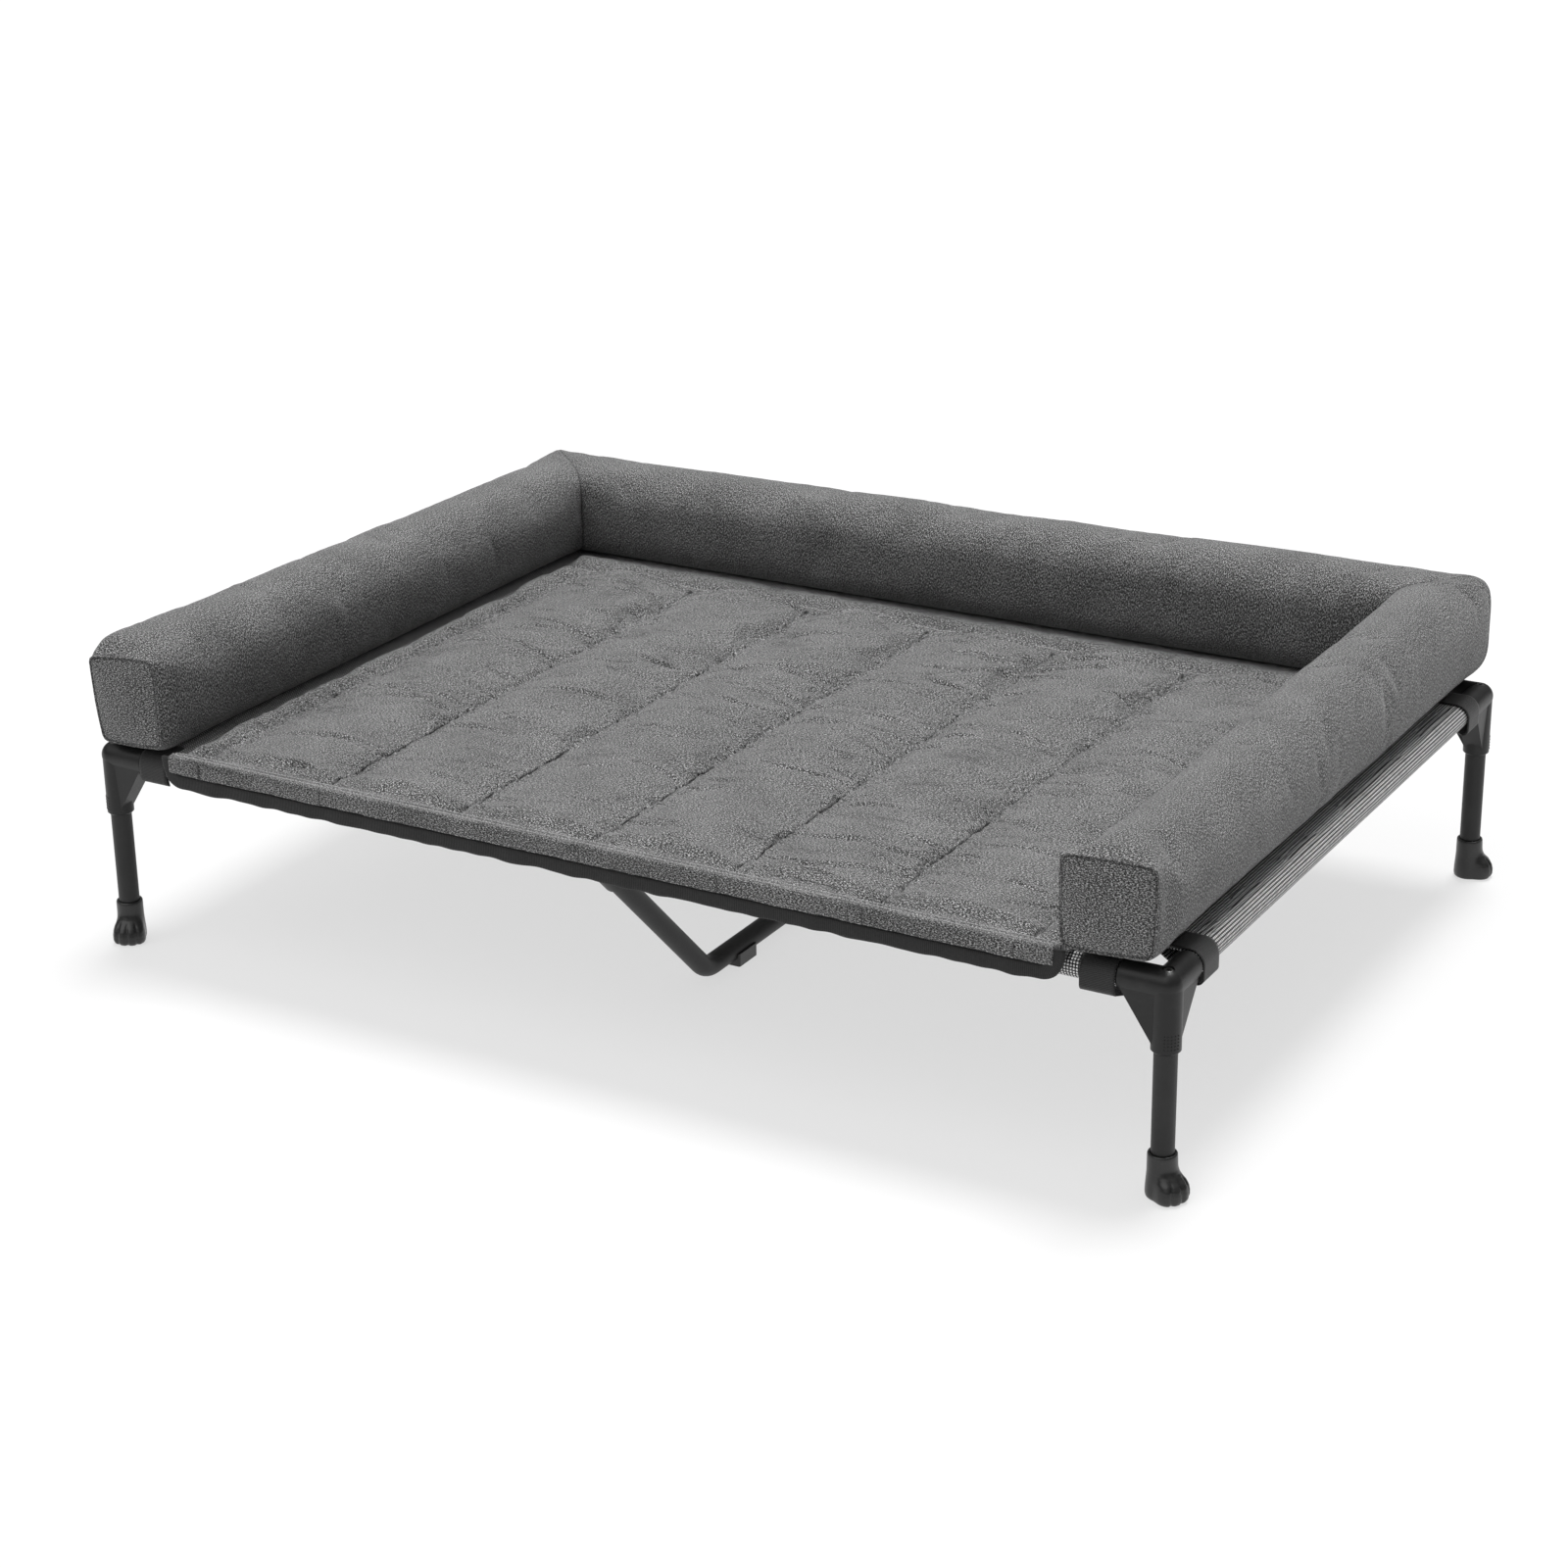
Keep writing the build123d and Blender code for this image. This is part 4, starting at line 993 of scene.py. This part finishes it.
def deckSleeve(name, along, sign, seed):
    # the deck's edge wrapped round its rail: over the top, round the outside and underneath, then sewn to
    # the panel from below. It is a section carried along the rail, with a few lengthwise folds on top
    look = {"thick": 1.0 * mm, "wrap": railRadius + 0.9 * mm, "inward": 34 * mm, "cells": 200,
            "foldDepth": 1.6 * mm, "foldWidth": 1.9 * mm, "fromLeg": 45.5 * mm,
            "folds": ((24, 0.9), (31, 1.2), (38, 0.8), (46, 0.45))}  # each fold's place in mm and its height
    angle = np.radians(np.linspace(90, -135, 34))
    radius = look["wrap"]
    onTop = np.stack([-np.linspace(look["inward"], 2 * mm, 12), np.full(12, radius)], 1)
    overRail = np.stack([radius * np.cos(angle), radius * np.sin(angle)], 1)
    away = np.linspace(0, 1, 12)[1:, None]
    toPanel = overRail[-1] + (np.array([-look["inward"], radius - 2.4 * mm]) - overRail[-1]) * away
    section = np.concatenate([onTop, overRail, toPanel])
    reach = np.concatenate([[0], np.cumsum(np.linalg.norm(np.diff(section, axis=0), axis=1))])
    span = (legY if along == "y" else legX) - look["fromLeg"]
    t = np.linspace(-span, span, look["cells"])
    wander = waves(seed, 5, 140 * mm, 520 * mm, t)[:, None] * 3 * mm
    folds = sum(np.exp(-((reach[None] - at * mm - wander) / look["foldWidth"]) ** 2) * tall
                for at, tall in look["folds"])
    folds *= 0.6 + 0.4 * waves(seed + 1, 5, 70 * mm, 300 * mm, t)[:, None]
    folds *= np.clip(np.minimum(span - np.abs(t), 40 * mm) / (40 * mm), 0, 1)[:, None]
    offset = look["foldDepth"] * folds
    outward = np.stack([-np.gradient(section[:, 1]), np.gradient(section[:, 0])], 1)
    outward /= -np.linalg.norm(outward, axis=1, keepdims=True)
    across = sign * (section[None, :, 0] - offset * outward[None, :, 0])
    up = section[None, :, 1] - offset * outward[None, :, 1] + railZ
    lengthwise = np.broadcast_to(t[:, None], up.shape)
    if along == "y":
        grid = np.stack([sign * legX + across, lengthwise, up], 2)
    else:
        grid = np.stack([lengthwise, sign * legY + across, up], 2)
    flat = np.stack([np.broadcast_to(reach[None], up.shape), lengthwise], 2)
    piece = thinSheet(name, grid, flat, look["thick"], meshLook)
    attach(piece, "frame")


deckPanel()
for name, along, sign, seed in (("deck_sleeve_right", "y", 1, 61), ("deck_sleeve_left", "y", -1, 63),
                                ("deck_sleeve_front", "x", -1, 65), ("deck_sleeve_back", "x", 1, 67)):
    deckSleeve(name, along, sign, seed)
print("deck made")


strapLook = {
    "near": 45 * mm, "wide": 34 * mm, "thick": 1.4 * mm, "wrap": 14.6 * mm, "under": 18.2 * mm,
    "tail": 18 * mm, "bend": 7 * mm, "sag": 0.8 * mm,
}


def cornerStrap(corner, signX, signY):
    # one elastic band: from the topper over one arm, down its outside, flat under the corner, and up over
    # the other arm. Each thread of it keeps its own distance from the leg on both arms
    look = strapLook
    offset = look["near"] + np.linspace(0, 1, 13) * look["wide"]
    wrap = look["wrap"]
    angle = np.radians(np.linspace(90, 180, 12))
    tail = np.stack([np.linspace(look["tail"], 1.5 * mm, 5), np.full(5, wrap)], 1)
    over = np.stack([wrap * np.cos(angle), wrap * np.sin(angle)], 1)
    drop = look["under"]
    bend = look["bend"]
    turn = np.radians(np.linspace(180, 262, 8))[1:]
    lower = np.stack([-wrap + bend + bend * np.cos(turn), -drop + bend + bend * np.sin(turn)], 1)
    halfPath = np.concatenate([tail, over, lower])  # distance across the arm, inward positive, and height
    across, up = halfPath[:, :1], halfPath[:, 1:]
    firstU, firstV = np.broadcast_arrays(offset[None], across)
    first = np.stack([firstU, firstV, np.broadcast_to(up, firstU.shape)], 2)
    second = first[::-1][..., [1, 0, 2]]
    share = np.linspace(0, 1, 22)[1:-1, None, None]
    run = first[-1][None] * (1 - share) + second[0][None] * share
    run[..., 2] -= look["sag"] * np.sin(math.pi * share[..., 0])
    local = np.concatenate([first, run, second])
    local[..., 2] += railZ + 0.25 * mm * waves(71, 5, 0.2, 0.9, np.linspace(0, 1, len(local)))[:, None]
    grid = np.stack([signX * (legX - local[..., 0]), signY * (legY - local[..., 1]), local[..., 2]], 2)
    reach = np.concatenate([[0], np.cumsum(np.linalg.norm(np.diff(grid[:, 6], axis=0), axis=1))])
    flat = np.stack(np.broadcast_arrays(reach[:, None], offset[None]), 2)
    piece = thinSheet("strap_" + corner, grid, flat, look["thick"], elasticLook)
    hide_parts("corner_strap_" + corner)
    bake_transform(piece)


for signX, wideName in ((-1, "left"), (1, "right")):
    for signY, deepName in ((-1, "front"), (1, "back")):
        cornerStrap(deepName + "_" + wideName, signX, signY)
print("straps made")


pawLook = {
    "heading": {"front_left": -63, "front_right": -18, "back_right": 30, "back_left": 162},
    "heel": 15.2 * mm, "collar": 14.0 * mm, "bore": 11.06 * mm, "top": 45 * mm, "floor": 6.1 * mm,
    "reach": ((0, 25.5), (5, 27), (10, 27), (15, 25.8), (19, 23.4), (22.5, 19.8), (26, 16.8), (31, 14.6),
              (45, 13.9)),  # height and how far the toes stand out there, in mm
    "spread": 60, "grooves": (-25, 0, 25), "grooveWide": 4.5, "grooveDeep": 2.1 * mm, "around": 160,
}


def paw(corner):
    # a rubber cap as rings round the leg. Each ring is the boot's circle pushed out towards the heading
    # as far as the reach at that height, with three shallow grooves that part the four toes
    look = pawLook
    turn = np.linspace(0, 2 * math.pi, look["around"] + 1)[:-1]
    bearing = np.degrees(np.angle(np.exp(1j * turn)))
    top, floor = look["top"], look["floor"]
    bodyZ = np.concatenate([[0, 0.3, 1.0, 2.2, 3.8], np.linspace(5.5, 30, 26), [33, 37, 41, 43.6, 44.6]]) * mm
    inset = np.concatenate([[3.4, 2.1, 1.1, 0.45, 0.1], np.zeros(29), [0.15, 0.6]]) * mm
    boot = look["heel"] + (look["collar"] - look["heel"]) * smoothRise(bodyZ, 6 * mm, 30 * mm)
    reachAt, reachOut = np.array(look["reach"]).T * mm
    reach = np.maximum(np.interp(bodyZ, reachAt, reachOut), boot)
    ahead = np.exp(-(np.abs(bearing) / look["spread"]) ** 4)
    parting = sum(np.exp(-((bearing - at) / look["grooveWide"]) ** 2) for at in look["grooves"])
    deep = look["grooveDeep"] * (1 - smoothRise(bodyZ, 17 * mm, 26 * mm))
    skin = boot[:, None] + (reach - boot)[:, None] * ahead - deep[:, None] * parting - inset[:, None]
    bore = np.full(look["around"], look["bore"])
    rings = [(0.35 * skin[0], 0), (0.75 * skin[0], 0)] + list(zip(skin, bodyZ))
    rings += [(bore + 1.2 * mm, top), (bore + 0.4 * mm, top - 0.2 * mm), (bore, top - 0.9 * mm)]
    rings += [(bore, 0.6 * top), (bore, floor), (0.5 * bore, floor)]
    radius = np.array([r for r, _ in rings])
    height = np.array([z for _, z in rings])[:, None] + 0 * radius
    aim = turn + math.radians(look["heading"][corner])
    low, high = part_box("leg_" + corner)
    middle = (low + high) / 2
    grid = np.stack([middle.x + radius * np.cos(aim), middle.y + radius * np.sin(aim), height], 2)
    faces, _ = quads(*grid.shape[:2], wrap=True)
    k = np.arange(look["around"])
    count, last = grid.shape[0] * look["around"], (grid.shape[0] - 1) * look["around"]
    points = np.concatenate([grid.reshape(-1, 3), [[middle.x, middle.y, 0], [middle.x, middle.y, floor]]])
    caps = [np.stack([k, (k + 1) % look["around"], np.full_like(k, count)], 1),
            np.stack([last + k, last + (k + 1) % look["around"], np.full_like(k, count + 1)], 1)]
    allFaces = faces.tolist() + caps[0].tolist() + caps[1].tolist()
    piece = meshPiece("paw_" + corner, points, allFaces, None, rubberLook)
    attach(piece, "foot_" + corner)
    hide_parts("foot_" + corner)


for corner in pawLook["heading"]:
    paw(corner)
print("feet made")


def finish(prefixes, material):
    for name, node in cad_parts.items():
        if name.startswith(prefixes):
            node.data.materials.clear()
            node.data.materials.append(material)


finish(("front_rail", "back_rail", "left_rail", "right_rail"), tubeLook)
finish(("leg_front", "leg_back", "middle_support"), tubeLook)
finish(("corner_connector", "middle_connector"), plasticLook)
finish(("foot_", "support_pads"), rubberLook)
finish(("leg_screws", "support_screws", "support_nuts"), screwLook)
finish(("leg_inserts",), insertLook)


def studio():
    # a pale glowing floor, a sky that darkens towards the horizon, and two broad suns
    look = {"floor": 0.25, "glow": 0.62, "floorSize": 400.0, "zenith": 0.72, "horizon": 0.05,
            "key": 3.1, "fill": 0.9}
    half = look["floorSize"] / 2
    corners = np.array([[-half, -half, 0], [half, -half, 0], [half, half, 0], [-half, half, 0]])
    graph = Graph("studio_floor", Roughness=0.9, Specular_IOR_Level=0.1)
    tone = graph.noise(graph.place((0.8,) * 3), 2.0, 0.5)
    graph.feed("Base Color", graph.mix(tone, grey(look["floor"]), grey(look["floor"] + 0.02)))
    graph.shader.inputs["Emission Color"].default_value = (1, 1, 1, 1)
    graph.shader.inputs["Emission Strength"].default_value = look["glow"]
    floor = meshPiece("studio_floor", corners, np.array([[0, 1, 2, 3]]), corners[:, :2], graph.material)
    world = bpy.data.worlds.new("studio")
    world.use_nodes = True
    tree = world.node_tree
    place = tree.nodes.new("ShaderNodeTexCoord")
    height = tree.nodes.new("ShaderNodeSeparateXYZ")
    ramp = tree.nodes.new("ShaderNodeMapRange")
    ramp.inputs["To Min"].default_value, ramp.inputs["To Max"].default_value = look["horizon"], look["zenith"]
    tree.links.new(place.outputs["Generated"], height.inputs[0])
    tree.links.new(height.outputs["Z"], ramp.inputs["Value"])
    tree.links.new(ramp.outputs[0], tree.nodes["Background"].inputs["Strength"])
    tree.nodes["Background"].inputs["Color"].default_value = (1, 1, 1, 1)
    bpy.context.scene.world = world
    lights = (("key", look["key"], 22, (-15, -2, 0)), ("fill", look["fill"], 60, (40, 0, -20)))
    for name, strength, angle, tilt in lights:
        sun = bpy.data.lights.new(name, "SUN")
        sun.energy = strength
        sun.angle = math.radians(angle)
        lamp = bpy.data.objects.new(name, sun)
        lamp.rotation_euler = [math.radians(a) for a in tilt]
        bpy.context.collection.objects.link(lamp)
    bpy.context.scene.view_settings.view_transform = "Standard"


def camera():
    look = {"place": (1.62545, -2.83897, 1.43585), "yaw": 30.259, "pitch": 21.564, "roll": -0.848,
            "lens": 75.15}
    yaw, pitch, roll = (math.radians(look[a]) for a in ("yaw", "pitch", "roll"))
    ahead = np.array([-math.sin(yaw) * math.cos(pitch), math.cos(yaw) * math.cos(pitch), -math.sin(pitch)])
    level = np.array([math.cos(yaw), math.sin(yaw), 0])
    upright = np.cross(level, ahead)
    right = level * math.cos(roll) + upright * math.sin(roll)
    up = upright * math.cos(roll) - level * math.sin(roll)
    eye = bpy.data.cameras.new("camera")
    eye.lens, eye.sensor_width, eye.clip_end = look["lens"], 36.0, 200.0
    holder = bpy.data.objects.new("camera", eye)
    turned = np.stack([right, up, -ahead], 1)
    holder.matrix_world = Matrix.Translation(look["place"]) @ Matrix(turned.tolist()).to_4x4()
    bpy.context.collection.objects.link(holder)
    bpy.context.scene.camera = holder


studio()
camera()
print("done")
